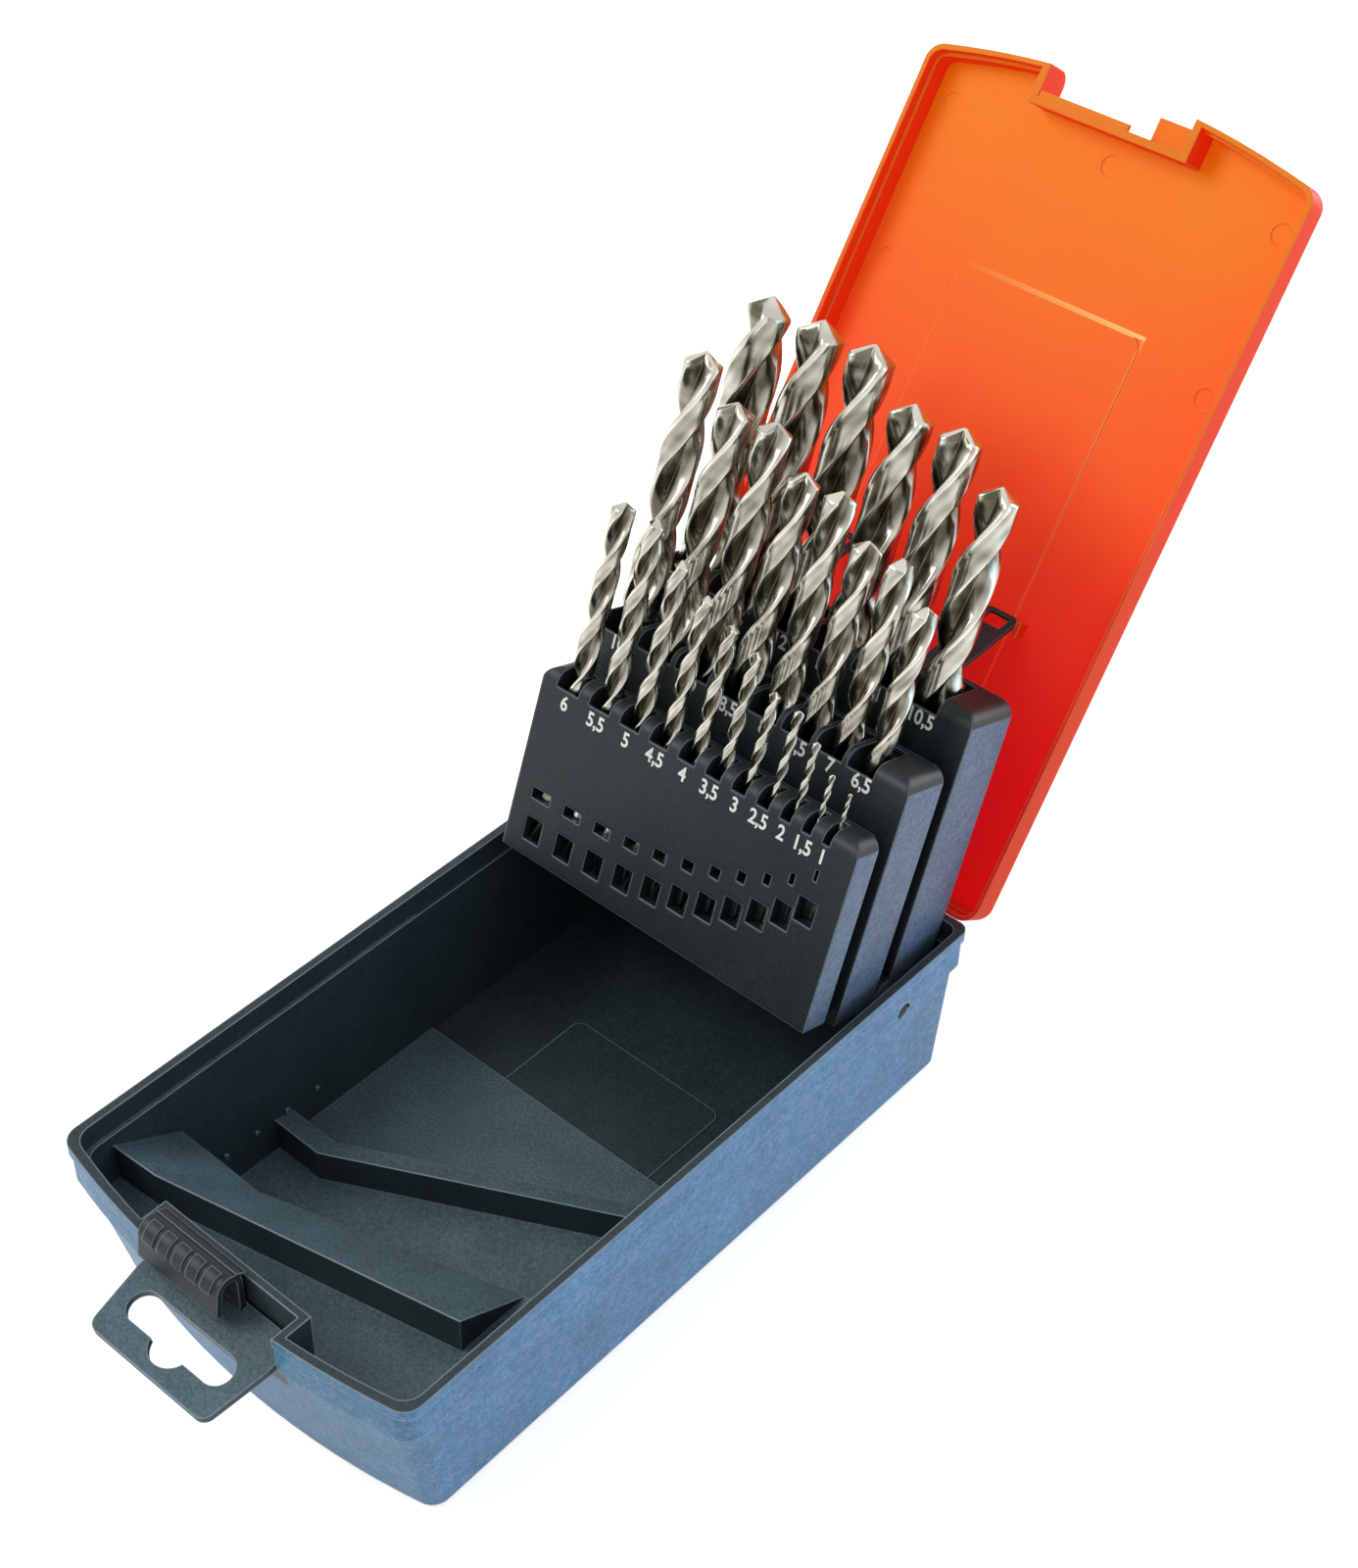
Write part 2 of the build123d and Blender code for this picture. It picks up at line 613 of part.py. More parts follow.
def tier_block(back, thickness, bottom, top):
    """Block of one tier, rounded along its top front edge and at its two top ends."""
    with BuildSketch(side_plane(rack_plane, 0)) as section:
        with Locations(((bottom + top) / 2, thickness / 2 - back)):
            Rectangle(top - bottom, thickness)
        front_corner = section.vertices().group_by(Axis.X)[-1].sort_by(Axis.Y)[-1]
        fillet(front_corner, tier_front_round)
    extrude(section.sketch, amount=rack_half_width, both=True)
    with BuildSketch(rack_plane.offset(-back)) as face:
        with Locations((0, (bottom + top) / 2)):
            Rectangle(2 * rack_half_width, top - bottom)
        fillet(face.vertices().group_by(Axis.Y)[-1], tier_end_round)
    extrude(face.sketch, amount=thickness, mode=Mode.INTERSECT)


def cut_rectangles(plane, depth, rectangles):
    """Cut rectangles of x, bottom, width and height on a plane, down behind it."""
    with BuildSketch(plane) as openings:
        for x, low, width, height in rectangles:
            with Locations((x, low)):
                Rectangle(width, height, align=(Align.CENTER, Align.MIN))
    extrude(openings.sketch, amount=-depth, mode=Mode.SUBTRACT)


def tier_sockets(bits, axis, back, thickness, top):
    """Sockets of one tier: bores, open mouths, windows in front and slots behind."""
    front_plane = rack_plane.offset(thickness - back)
    lip = top - lip_drop
    # open mouths through the front edge, then wells behind a thin lip
    cut_rectangles(front_plane, thickness - mouth_back,
                   [(x, lip, size + 2 * mouth_side, 2 * lip_drop) for size, x, _ in bits])
    cut_rectangles(front_plane.offset(-lip_wall), thickness - mouth_back - lip_wall,
                   [(x, lip - well_depth, size + 2 * mouth_side, well_depth) for size, x, _ in bits])
    for size, x, depth in bits:
        with BuildSketch(up_plane(x, top - depth, axis)) as bore:
            Circle(size / 2 + socket_fit)
        extrude(bore.sketch, amount=depth, mode=Mode.SUBTRACT)
    # windows at the foot of each bit, and a smaller one above
    to_axis = thickness - back + axis
    cut_rectangles(front_plane, to_axis,
                   [(x, top - depth, window_width, window_height) for _, x, depth in bits]
                   + [(x, top - depth + upper_window_rise, size, upper_window_height)
                      for size, x, depth in bits])
    # a slot behind each bit, and a smaller one just under the tier's top
    cut_rectangles(rack_plane.offset(-axis), back - axis,
                   [(x, top - rear_slot_drop - rear_slot_height, size, rear_slot_height)
                    for size, x, _ in bits]
                   + [(x, top - top_slot_drop - top_slot_height, min(size, top_slot_width),
                       top_slot_height) for size, x, _ in bits])


with BuildPart() as rack_front:
    tier_block(front_back, front_thickness, front_bottom, front_top)
    tier_sockets(front_row, front_axis, front_back, front_thickness, front_top)

with BuildPart() as rack_middle:
    tier_block(middle_back, middle_thickness, middle_bottom, middle_top)
    tier_sockets(middle_row, middle_axis, middle_back, middle_thickness, middle_top)
    # webs that join the tiers in front and behind, low in the gaps
    web_half = rack_half_width - ear_thickness - hinge_gap
    with BuildSketch(rack_plane.offset(-middle_back + middle_thickness)):
        with Locations((0, front_bottom)):
            Rectangle(2 * web_half, web_height, align=(Align.CENTER, Align.MIN))
    extrude(amount=front_gap)
    with BuildSketch(rack_plane.offset(-middle_back)):
        with Locations((0, middle_bottom)):
            Rectangle(2 * web_half, web_height, align=(Align.CENTER, Align.MIN))
    extrude(amount=-rear_gap)

with BuildPart() as rack_rear:
    tier_block(rear_face, rear_thickness, rear_bottom, rear_top)
    for side in (-1, 1):
        # ear and boss round the pivot pin
        with BuildSketch(side_plane(rack_plane, side * (rack_half_width - ear_thickness / 2))):
            Circle(ear_radius)
        extrude(amount=ear_thickness / 2, both=True)
        with BuildSketch(side_plane(rack_plane, side * rack_half_width)):
            Circle(boss_radius)
        extrude(amount=side * boss_length)
        with BuildSketch(side_plane(rack_plane, side * (rack_half_width - ear_thickness))):
            Circle(pivot_pin_radius)
        extrude(amount=side * (ear_thickness + boss_length), mode=Mode.SUBTRACT)
        # recess and trunnion holes for a link strap
        recess_width = strap_width + 2 * strap_gap
        with BuildSketch(rack_plane.offset(-rear_face)):
            with Locations((side * strap_offset, rear_top)):
                Rectangle(recess_width, recess_length, align=(Align.CENTER, Align.MAX))
            # room for the lid's cheeks when shut
            with Locations((side * strap_offset, cheek_reach + pivot_y - rear_y)):
                Rectangle(2 * (cheek_offset + cheek_thickness / 2 + cheek_clearance),
                          cheek_length + 4 * cheek_clearance)
        extrude(amount=recess_depth, mode=Mode.SUBTRACT)
        with BuildSketch(side_plane(rack_plane, side * strap_offset)):
            with Locations((strap_root_u, -strap_root_n)):
                Circle(strap_trunnion_radius + running_fit)
        extrude(amount=recess_width / 2 + strap_trunnion_length, both=True, mode=Mode.SUBTRACT)
        # relief round the hinge behind the open rack
        with BuildSketch(Plane.YZ.offset(side * hinge_spread)):
            with Locations((rear_y, base_height)):
                Circle(knuckle_radius + hinge_relief)
        extrude(amount=knuckle_length / 2 + lug_length + 2 * hinge_gap, both=True, mode=Mode.SUBTRACT)
    tier_sockets(rear_row, rear_axis, rear_face, rear_thickness, rear_top)


def pivot_pin(side):
    """Pin from a rack ear out through the tray's side wall."""
    with BuildPart() as pin:
        with BuildSketch(side_plane(rack_plane, side * (rack_half_width - ear_thickness))):
            Circle(pivot_pin_radius)
        extrude(amount=side * pin_length)
    return pin.part


def link_strap(side):
    """Strap from the rear tier's top to the lid's cheeks."""
    rise = math.radians(strap_rise)
    root = rack_plane.from_local_coords((side * strap_offset, strap_root_u, -strap_root_n))
    strap_plane = Plane(origin=root, x_dir=(1, 0, 0), z_dir=(0, -math.sin(rise), math.cos(rise)))
    with BuildPart() as strap:
        with BuildSketch(strap_plane.offset(-strap_thickness / 2)) as outline:
            Rectangle(strap_width, strap_reach, align=(Align.CENTER, Align.MIN))
            fillet(outline.vertices().group_by(Axis.Y)[-1], strap_corner)
            with Locations((0, strap_reach - strap_end_bar)):
                Rectangle(strap_loop_width, strap_loop_length, align=(Align.CENTER, Align.MAX),
                          mode=Mode.SUBTRACT)
        extrude(amount=strap_thickness)
        across = Plane(origin=root, x_dir=(0, 1, 0), z_dir=(1, 0, 0))
        with BuildSketch(across):
            Circle(strap_bead_radius)
        extrude(amount=strap_width / 2, both=True)
        with BuildSketch(across):
            Circle(strap_trunnion_radius)
        extrude(amount=strap_width / 2 + strap_gap + strap_trunnion_length, both=True)
    return strap.part


def twist_bit(size, x, seat, axis):
    """Bit standing in its socket: chamfered shank, plain body and cone point."""
    length = bit_length[size]
    point = size / 2 / math.tan(math.radians(point_angle / 2))
    with BuildPart(up_plane(x, seat, axis)) as bit:
        Cylinder(size / 2, length - point, align=(Align.CENTER, Align.CENTER, Align.MIN))
        chamfer(bit.edges().sort_by(Axis((0, 0, 0), rack_plane.y_dir))[0], shank_chamfer)
        with Locations((0, 0, length - point)):
            Cone(size / 2, size * point_flat, point, align=(Align.CENTER, Align.CENTER, Align.MIN))
    return bit.part


# ---------------------------------------------------------------- write the nodes
pieces = {
    "base_tray": base_tray.part,
    "hanger_plate": hanger_plate.part,
    "snap_tongue": snap_tongue.part,
    "lid": lid.part,
    "hinge_pin_left": hinge_pin(-hinge_spread),
    "hinge_pin_right": hinge_pin(hinge_spread),
    "rack_front": rack_front.part,
    "rack_middle": rack_middle.part,
    "rack_rear": rack_rear.part,
    "pivot_pin_left": pivot_pin(-1),
    "pivot_pin_right": pivot_pin(1),
    "link_strap_left": link_strap(-1),
    "link_strap_right": link_strap(1),
}
for bits, axis, top in ((front_row, front_axis, front_top), (middle_row, middle_axis, middle_top),
                        (rear_row, rear_axis, rear_top)):
    for size, x, depth in bits:
        name = f"bit_{size:.1f}mm".replace(".", "_")
        pieces[name] = twist_bit(size, x, top - depth, axis)

os.makedirs("parts", exist_ok=True)
for name, piece in pieces.items():
    piece.label = name
    export_step(piece, f"parts/{name}.step")
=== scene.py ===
"""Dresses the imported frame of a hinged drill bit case, and sets a stage for it.

The bits get their flutes, the rack its printed sizes, and every piece its finish.
"""

import json
import math

import bmesh
import bpy
from mathutils import Matrix, Vector


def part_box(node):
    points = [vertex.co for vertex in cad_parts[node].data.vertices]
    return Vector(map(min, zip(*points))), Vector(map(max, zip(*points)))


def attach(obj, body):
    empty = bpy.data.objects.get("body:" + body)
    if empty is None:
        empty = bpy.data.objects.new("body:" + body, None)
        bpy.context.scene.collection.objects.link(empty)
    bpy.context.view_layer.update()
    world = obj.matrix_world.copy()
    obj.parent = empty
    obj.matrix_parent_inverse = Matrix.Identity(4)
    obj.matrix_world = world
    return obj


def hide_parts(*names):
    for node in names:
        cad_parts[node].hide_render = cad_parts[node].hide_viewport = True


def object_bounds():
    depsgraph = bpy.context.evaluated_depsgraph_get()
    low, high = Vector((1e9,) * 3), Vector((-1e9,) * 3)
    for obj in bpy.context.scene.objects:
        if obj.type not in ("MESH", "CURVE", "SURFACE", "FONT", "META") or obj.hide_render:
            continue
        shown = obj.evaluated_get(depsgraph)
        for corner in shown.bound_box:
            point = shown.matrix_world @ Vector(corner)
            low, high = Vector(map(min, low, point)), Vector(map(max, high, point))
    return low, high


bl_info = {
    "name": "Drill Bit Case",
    "version": (1, 0, 0),
    "blender": (4, 5, 0),
    "location": "View3D > Sidebar > Bit Case",
    "description": "Builds the bits, printed sizes and finishes of a hinged drill bit case",
    "category": "Add Mesh",
}

MM = 0.001
# Faces that would lie in one plane are kept this far apart, so that they don't fight.
HAIR = 0.05 * MM

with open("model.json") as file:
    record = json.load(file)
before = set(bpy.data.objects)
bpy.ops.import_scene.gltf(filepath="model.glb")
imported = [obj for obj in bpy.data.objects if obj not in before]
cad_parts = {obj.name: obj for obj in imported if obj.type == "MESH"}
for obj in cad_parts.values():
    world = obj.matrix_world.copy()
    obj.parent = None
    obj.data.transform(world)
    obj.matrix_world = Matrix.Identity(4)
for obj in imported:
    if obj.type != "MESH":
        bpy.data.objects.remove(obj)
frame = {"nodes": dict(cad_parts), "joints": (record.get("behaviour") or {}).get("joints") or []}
cad_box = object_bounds()
joints = {joint["name"]: joint for joint in frame["joints"]}

# Flute lengths of short twist drills in millimetres, by diameter.
FLUTE_LENGTHS = {
    1.0: 12, 1.5: 18, 2.0: 24, 2.5: 30, 3.0: 33, 3.5: 39, 4.0: 43, 4.5: 47, 5.0: 52,
    5.5: 57, 6.0: 57, 6.5: 63, 7.0: 69, 7.5: 69, 8.0: 75, 8.5: 75, 9.0: 81,
    9.5: 81, 10.0: 87, 10.5: 87, 11.0: 94, 11.5: 94, 12.0: 101, 12.5: 101, 13.0: 101,
}
# The largest and smallest bit in each tier of the rack, in millimetres, and the step between bits.
TIER_BITS = {"rack_front": (6.0, 1.0), "rack_middle": (10.0, 6.5), "rack_rear": (13.0, 10.5)}
SIZE_STEP = 0.5


# ---------------------------------------------------------------- places on the rack
pivot = Vector(joints["rack_tilt"]["pos_m"])
up = Vector(joints["bit_13_0mm_slide"]["axis"]).normalized()
across = Vector((1, 0, 0))
forward = across.cross(up)


def bit_node(size):
    """Name of the frame's node for a bit of a size in millimetres."""
    return f"bit_{size:.1f}mm".replace(".", "_")


def span(node, direction):
    """Lowest and highest reach of a node along a direction, from the rack's pivot."""
    reaches = [direction.dot(corner.co - pivot) for corner in frame["nodes"][node].data.vertices]
    return min(reaches), max(reaches)


def front_of(tier):
    """Reach of a tier's front face, taken near its top, clear of its webs and ears."""
    near_top = 0.7 * span(tier, up)[1]
    corners = [corner.co - pivot for corner in frame["nodes"][tier].data.vertices]
    return max(forward.dot(corner) for corner in corners if up.dot(corner) > near_top)


def sizes_of(tier):
    """Bit sizes of a tier from the left, largest first."""
    largest, smallest = TIER_BITS[tier]
    count = round((largest - smallest) / SIZE_STEP) + 1
    return [largest - SIZE_STEP * step for step in range(count)]


# ---------------------------------------------------------------- pieces and materials
# Typical IORs: ABS for the charcoal pieces, and polypropylene for the lid.
ABS_IOR = 1.53
POLYPROPYLENE_IOR = 1.49
# A painted highlight along a moulded outer edge is about this wide. More samples smooth the edges'
# painted pale lines.
HIGHLIGHT_WIDTH = 0.4 * MM
EDGE_SAMPLES = 6


def new_piece(name, mesh_data, body, material):
    """Add an object for a mesh, with its material, riding on a body."""
    piece = bpy.data.objects.new(name, mesh_data)
    bpy.context.scene.collection.objects.link(piece)
    piece.data.materials.clear()
    piece.data.materials.append(material)
    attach(piece, body)
    return piece


def dress(nodes, material):
    """Give frame nodes a material."""
    for node in nodes:
        piece = frame["nodes"][node]
        for index in range(max(len(piece.material_slots), 1)):
            if index < len(piece.material_slots):
                piece.material_slots[index].material = material
            else:
                piece.data.materials.append(material)


def linear(text):
    """Linear RGBA of an sRGB hex colour."""
    channels = [int(text[i:i + 2], 16) / 255 for i in (1, 3, 5)]
    return [c / 12.92 if c <= 0.04045 else ((c + 0.055) / 1.055) ** 2.4 for c in channels] + [1.0]


def add_node(tree, kind, inputs=(), **settings):
    """Add a shader node with its settings and its inputs' values or links, and return its outputs.

    The inputs come as a dict by name or number, or as a tuple in the node's own order.
    """
    made = tree.nodes.new("ShaderNode" + kind)
    for key, value in settings.items():
        setattr(made, key, value)
    for key, value in inputs.items() if isinstance(inputs, dict) else enumerate(inputs):
        if isinstance(value, bpy.types.NodeSocket):
            tree.links.new(value, made.inputs[key])
        else:
            made.inputs[key].default_value = value
    return made.outputs


def new_material(name):
    """Node material with nothing in it yet."""
    material = bpy.data.materials.new(name)
    material.use_nodes = True
    material.node_tree.nodes.clear()
    return material, material.node_tree


def outward(tree, half, share):
    """1 on a piece's outer sides, which look out and lie near its half sizes, and 0 elsewhere."""
    coords = add_node(tree, "TexCoord")
    place = add_node(tree, "SeparateXYZ", (coords["Object"],))
    face = add_node(tree, "SeparateXYZ", (coords["Normal"],))
    found = 0.0
    for axis, reach in zip("XY", half):
        along = add_node(tree, "Math", (place[axis], face[axis]), operation="MULTIPLY")[0]
        found = add_node(tree, "Math", (along, 1 / reach, found), operation="MULTIPLY_ADD")[0]
    return add_node(tree, "MapRange", (found, share, share + 0.01))[0]


def edge_highlight(tree, radius, amount):
    """Normal with its edges rounded by a radius, and how much a point lies on an outer edge, where
    a painted highlight goes.
    """
    rounded = add_node(tree, "Bevel", {"Radius": radius}, samples=EDGE_SAMPLES)["Normal"]
    # From inside the plastic, an outer edge is hemmed in, and a face or inner corner is open.
    open_inside = add_node(tree, "AmbientOcclusion", {"Distance": HIGHLIGHT_WIDTH}, inside=True,
                           only_local=True, samples=EDGE_SAMPLES)["AO"]
    return rounded, add_node(tree, "MapRange", (open_inside, 0.9, 0.55, 0.0, amount))[0]


def latch_pocket(tree, half, rear, foot):
    """1 in the pocket round the latch, which is moulded smooth, and 0 elsewhere."""
    place = add_node(tree, "SeparateXYZ", (add_node(tree, "TexCoord")["Object"],))
    off_middle = add_node(tree, "Math", (place["X"],), operation="ABSOLUTE")[0]
    across_it = add_node(tree, "Math", (off_middle, half), operation="LESS_THAN")[0]
    before_it = add_node(tree, "Math", (place["Y"], rear), operation="LESS_THAN")[0]
    above_it = add_node(tree, "Math", (place["Z"], foot), operation="GREATER_THAN")[0]
    both = add_node(tree, "Math", (across_it, before_it), operation="MULTIPLY")[0]
    return add_node(tree, "Math", (both, above_it), operation="MULTIPLY")[0]


def floor_grain(tree, rear, ceiling):
    """1 on the tray's floor where it faces up, in front of a rear end and below a ceiling."""
    coords = add_node(tree, "TexCoord")
    place = add_node(tree, "SeparateXYZ", (coords["Object"],))
    face = add_node(tree, "SeparateXYZ", (coords["Normal"],))
    level = add_node(tree, "Math", (face["Z"], 0.75), operation="GREATER_THAN")[0]
    near = add_node(tree, "MapRange", (place["Y"], rear + 0.2 * MM, rear))[0]
    low = add_node(tree, "Math", (place["Z"], ceiling), operation="LESS_THAN")[0]
    both = add_node(tree, "Math", (level, near), operation="MULTIPLY")[0]
    return add_node(tree, "Math", (both, low), operation="MULTIPLY")[0]


def moulded_charcoal(name, colours, plain, sides, half, share, rounding, highlight_share,
                     eroded=None, pocket=None):
    """Charcoal plastic, injection moulded.

    It is near black where the tool was polished, and mottled on the outer sides, where the tool
    was eroded for a grip; their slate blue is partly a painted bluish sheen. Its edges are rounded,
    with a painted pale highlight along the outer ones.
    """
    material, tree = new_material(name)
    place = add_node(tree, "TexCoord")["Object"]
    # The eroded grain is about 0.1 mm, too fine to show, so it is drawn several times coarser.
    grain = add_node(tree, "TexNoise", {"Vector": place, "Scale": 1 / (0.8 * MM), "Detail": 3.0,
                                        "Roughness": 0.75})["Fac"]
    clouds = add_node(tree, "TexNoise", {"Vector": place, "Scale": 1 / (16 * MM),
                                         "Detail": 5.0})["Fac"]
    mottled = add_node(tree, "TexNoise", {"Vector": place, "Scale": 1 / (2.5 * MM),
                                          "Detail": 4.0})["Fac"]
    # The outer sides are slate blue, partly a painted bluish sheen, and mottled.
    outside = outward(tree, half, share)
    if pocket:
        smooth = latch_pocket(tree, *pocket)
        outside = add_node(tree, "Math", (outside, smooth), operation="SUBTRACT")[0]
    flecks = add_node(tree, "MapRange", (mottled, 0.4, 0.62))[0]
    slate = add_node(tree, "Mix", {0: flecks, 6: linear(sides[0]), 7: linear(sides[1])},
                     data_type="RGBA")[2]
    body = add_node(tree, "Mix", {0: outside, 6: linear(plain), 7: slate}, data_type="RGBA")[2]
    if eroded:
        floor = floor_grain(tree, *eroded)
        body = add_node(tree, "Mix", {0: floor, 6: body, 7: linear(colours.eroded)},
                        data_type="RGBA")[2]
    fine = add_node(tree, "MapRange", (grain, 0.35, 0.7, 0.65, 1.45))[0]
    broad = add_node(tree, "MapRange", (clouds, 0.3, 0.7, 0.85, 1.15))[0]
    both = add_node(tree, "Math", (fine, broad), operation="MULTIPLY")[0]
    grained = add_node(tree, "VectorMath", {0: body, "Scale": both}, operation="SCALE")["Vector"]
    # Outer edges get a painted pale highlight.
    rounded, edge = edge_highlight(tree, rounding, highlight_share)
    highlit = add_node(tree, "Mix", {0: edge, 6: grained, 7: linear(colours.charcoal_highlight)},
                    data_type="RGBA")[2]
    bumped = add_node(tree, "Bump", {"Height": grain, "Normal": rounded, "Strength": 0.4,
                                     "Distance": 0.1 * MM})["Normal"]
    matt = add_node(tree, "MapRange", (grain, 0.0, 1.0, 0.37, 0.52))[0]
    shader = add_node(tree, "BsdfPrincipled", {"Base Color": highlit, "Roughness": matt,
                                               "Normal": bumped, "IOR": ABS_IOR,
                                               "Specular IOR Level": 0.3})
    add_node(tree, "OutputMaterial", (shader["BSDF"],))
    return material


def panel_glint(tree, place, panel):
    """1 along the label panel's upper edge and less along its right one, which catch the light."""
    right, top, width, height, radius = panel
    along = add_node(tree, "SeparateXYZ", (place,))
    over = add_node(tree, "Math", (along["Z"], top), operation="SUBTRACT")[0]
    beside = add_node(tree, "Math", (along["X"], right), operation="SUBTRACT")[0]
    glints = []
    for off, other, reach, strength in ((over, beside, width, 1.0), (beside, over, height, 0.3)):
        # Each line fades out over its length, away from the corner that they share.
        line = add_node(tree, "Math", (off, 0.0, radius), operation="COMPARE")[0]
        share = add_node(tree, "MapRange", (other, -reach, 0.0, 0.0, strength))[0]
        held = add_node(tree, "Math", (other, radius), operation="LESS_THAN")[0]
        lit = add_node(tree, "Math", (line, share), operation="MULTIPLY")[0]
        glints.append(add_node(tree, "Math", (lit, held), operation="MULTIPLY")[0])
    return add_node(tree, "Math", tuple(glints), operation="MAXIMUM")[0]


def translucent_lid(name, colours, facing, panel, hinge_z, latch_z):
    """Polypropylene, tinted and moulded thin.

    Light soaks through it, and it glows. Its colour is painted red by the hinge and amber at the
    latch, as painted shade low down and painted light high up. Its walls, which are seen through
    more plastic, are painted redder as painted shade, and its thin edges get a painted pale
    highlight.
    """
    material, tree = new_material(name)
    coords = add_node(tree, "TexCoord")
    place = coords["Object"]
    along = add_node(tree, "SeparateXYZ", (place,))
    # The grain is about 0.2 mm, drawn three times coarser so that it shows.
    grain = add_node(tree, "TexNoise", {"Vector": place, "Scale": 1 / (0.6 * MM),
                                        "Detail": 3.0})["Fac"]
    clouds = add_node(tree, "TexNoise", {"Vector": place, "Scale": 1 / (40 * MM),
                                         "Detail": 2.0})["Fac"]
    # The clouds shift the colours by up to 40 mm, so that they don't change in level bands.
    drift = add_node(tree, "Math", (clouds, 40 * MM, along["Z"]), operation="MULTIPLY_ADD")[0]
    # Painted shade and light: red low by the hinge, amber high by the latch.
    rise = add_node(tree, "MapRange", (drift, hinge_z + 55 * MM, latch_z + 30 * MM))[0]
    tint = add_node(tree, "Mix", {0: rise, 6: linear(colours.lid_shaded_low), 7: linear(colours.lid_lit_high)},
                    data_type="RGBA")[2]
    # A wall is a face turned well away from the way that the lid's broad face looks.
    turned = add_node(tree, "VectorMath", (coords["Normal"], facing),
                      operation="DOT_PRODUCT")["Value"]
    flat = add_node(tree, "Math", (turned,), operation="ABSOLUTE")[0]
    upright = add_node(tree, "MapRange", (flat, 0.75, 0.55))[0]
    # The walls are painted redder, as painted shade.
    wall_shaded = add_node(tree, "Mix", {0: upright, 6: tint, 7: linear(colours.lid_shaded_wall)},
                      data_type="RGBA")[2]
    glint = panel_glint(tree, place, panel)
    # The lid's thin outer edges get a painted pale highlight.
    rounded, edge = edge_highlight(tree, radius=0.6 * MM, amount=0.9)
    edge_highlit = add_node(tree, "Mix", {0: edge, 6: wall_shaded, 7: linear(colours.lid_edge_highlight)},
                     data_type="RGBA")[2]
    rimmed = add_node(tree, "Mix", {0: glint, 6: edge_highlit, 7: linear(colours.lid_glint)},
                      data_type="RGBA")[2]
    bumped = add_node(tree, "Bump", {"Height": grain, "Normal": rounded, "Strength": 0.25,
                                     "Distance": 0.1 * MM})["Normal"]
    shader = add_node(tree, "BsdfPrincipled", {"Base Color": rimmed, "Roughness": 0.4,
                                               "Normal": bumped, "IOR": POLYPROPYLENE_IOR,
                                               "Specular IOR Level": 0.15})
    soaked = add_node(tree, "BsdfTranslucent", {"Color": rimmed, "Normal": bumped})
    mixed = add_node(tree, "MixShader", (0.42, shader["BSDF"], soaked["BSDF"]))
    add_node(tree, "OutputMaterial", (mixed["Shader"],))
    return material


def ground_steel(name, pale_hex, dark_hex, roughness, line_mm):
    """High speed steel, ground: bright on its margins and flanks, dark and warm in its flutes,
    partly its finish and partly painted reflection and shade.
    """
    material, tree = new_material(name)
    uv = add_node(tree, "UVMap", uv_map="around_along")["UV"]
    around = add_node(tree, "SeparateXYZ", (uv,))["X"]
    half_turn = add_node(tree, "Math", (around,), operation="FRACT")[0]
    # In order round the bit: margin, land, heel, flute floor, and the face below the cutting edge.
    # The bright bands are partly painted reflection, and the dark flute floor partly painted shade.
    finish_and_reflection_tones = add_node(tree, "ValToRGB", (half_turn,))["Color"]
    stops = finish_and_reflection_tones.node.color_ramp.elements
    stops[0].color = (1, 1, 1, 1)
    stops[1].color = (0.75, 0.75, 0.75, 1)
    for place, tone in ((0.07, 0.95), (0.09, 0.3), (0.2, 0.62), (0.3, 0.4), (0.4, 0.7),
                        (0.45, 0.9), (0.48, 0.12), (0.66, 0.0), (0.8, 0.16), (0.9, 0.05)):
        stops.new(place).color = (tone, tone, tone, 1)
    # Each land and flute is stained in broad patches, a few millimetres long.
    patch = add_node(tree, "Mapping", {"Vector": uv, "Scale": (2.2, 0.16, 1.0)})["Vector"]
    stain = add_node(tree, "TexNoise", {"Vector": patch, "Scale": 1.0, "Detail": 1.0})["Fac"]
    sway = add_node(tree, "MapRange", (stain, 0.35, 0.65, -0.22, 0.22))[0]
    tone = add_node(tree, "Math", (finish_and_reflection_tones, sway), operation="ADD", use_clamp=True)[0]
    tint = add_node(tree, "Mix", {0: tone, 6: linear(dark_hex), 7: linear(pale_hex)},
                    data_type="RGBA")[2]
    # Grinding lines are a few hundredths of a millimetre apart, drawn ten times coarser to show.
    lines = add_node(tree, "Mapping", {"Vector": uv, "Scale": (2.0, 1 / line_mm, 1.0)})["Vector"]
    ground = add_node(tree, "TexNoise", {"Vector": lines, "Scale": 1.0, "Detail": 1.0})["Fac"]
    matt = add_node(tree, "MapRange", (ground, 0.3, 0.7, roughness - 0.03, roughness + 0.04))[0]
    shader = add_node(tree, "BsdfPrincipled", {"Base Color": tint, "Metallic": 1.0,
                                               "Roughness": matt})
    add_node(tree, "OutputMaterial", (shader["BSDF"],))
    return material


def drawn_wire(name, steel_hex, roughness):
    """Mild steel wire, drawn: fine lines along it, and a dull shine."""
    material, tree = new_material(name)
    place = add_node(tree, "TexCoord")["Object"]
    # The wires lie across the case, so their drawing lines do too.
    lines = add_node(tree, "Mapping", {"Vector": place,
                                       "Scale": (0.02 / MM, 3 / MM, 3 / MM)})["Vector"]
    drawn = add_node(tree, "TexNoise", {"Vector": lines, "Scale": 1.0})["Fac"]
    matt = add_node(tree, "MapRange", (drawn, 0.0, 1.0, roughness - 0.1, roughness + 0.1))[0]
    shader = add_node(tree, "BsdfPrincipled", {"Base Color": linear(steel_hex), "Metallic": 1.0,
                                               "Roughness": matt})
    add_node(tree, "OutputMaterial", (shader["BSDF"],))
    return material


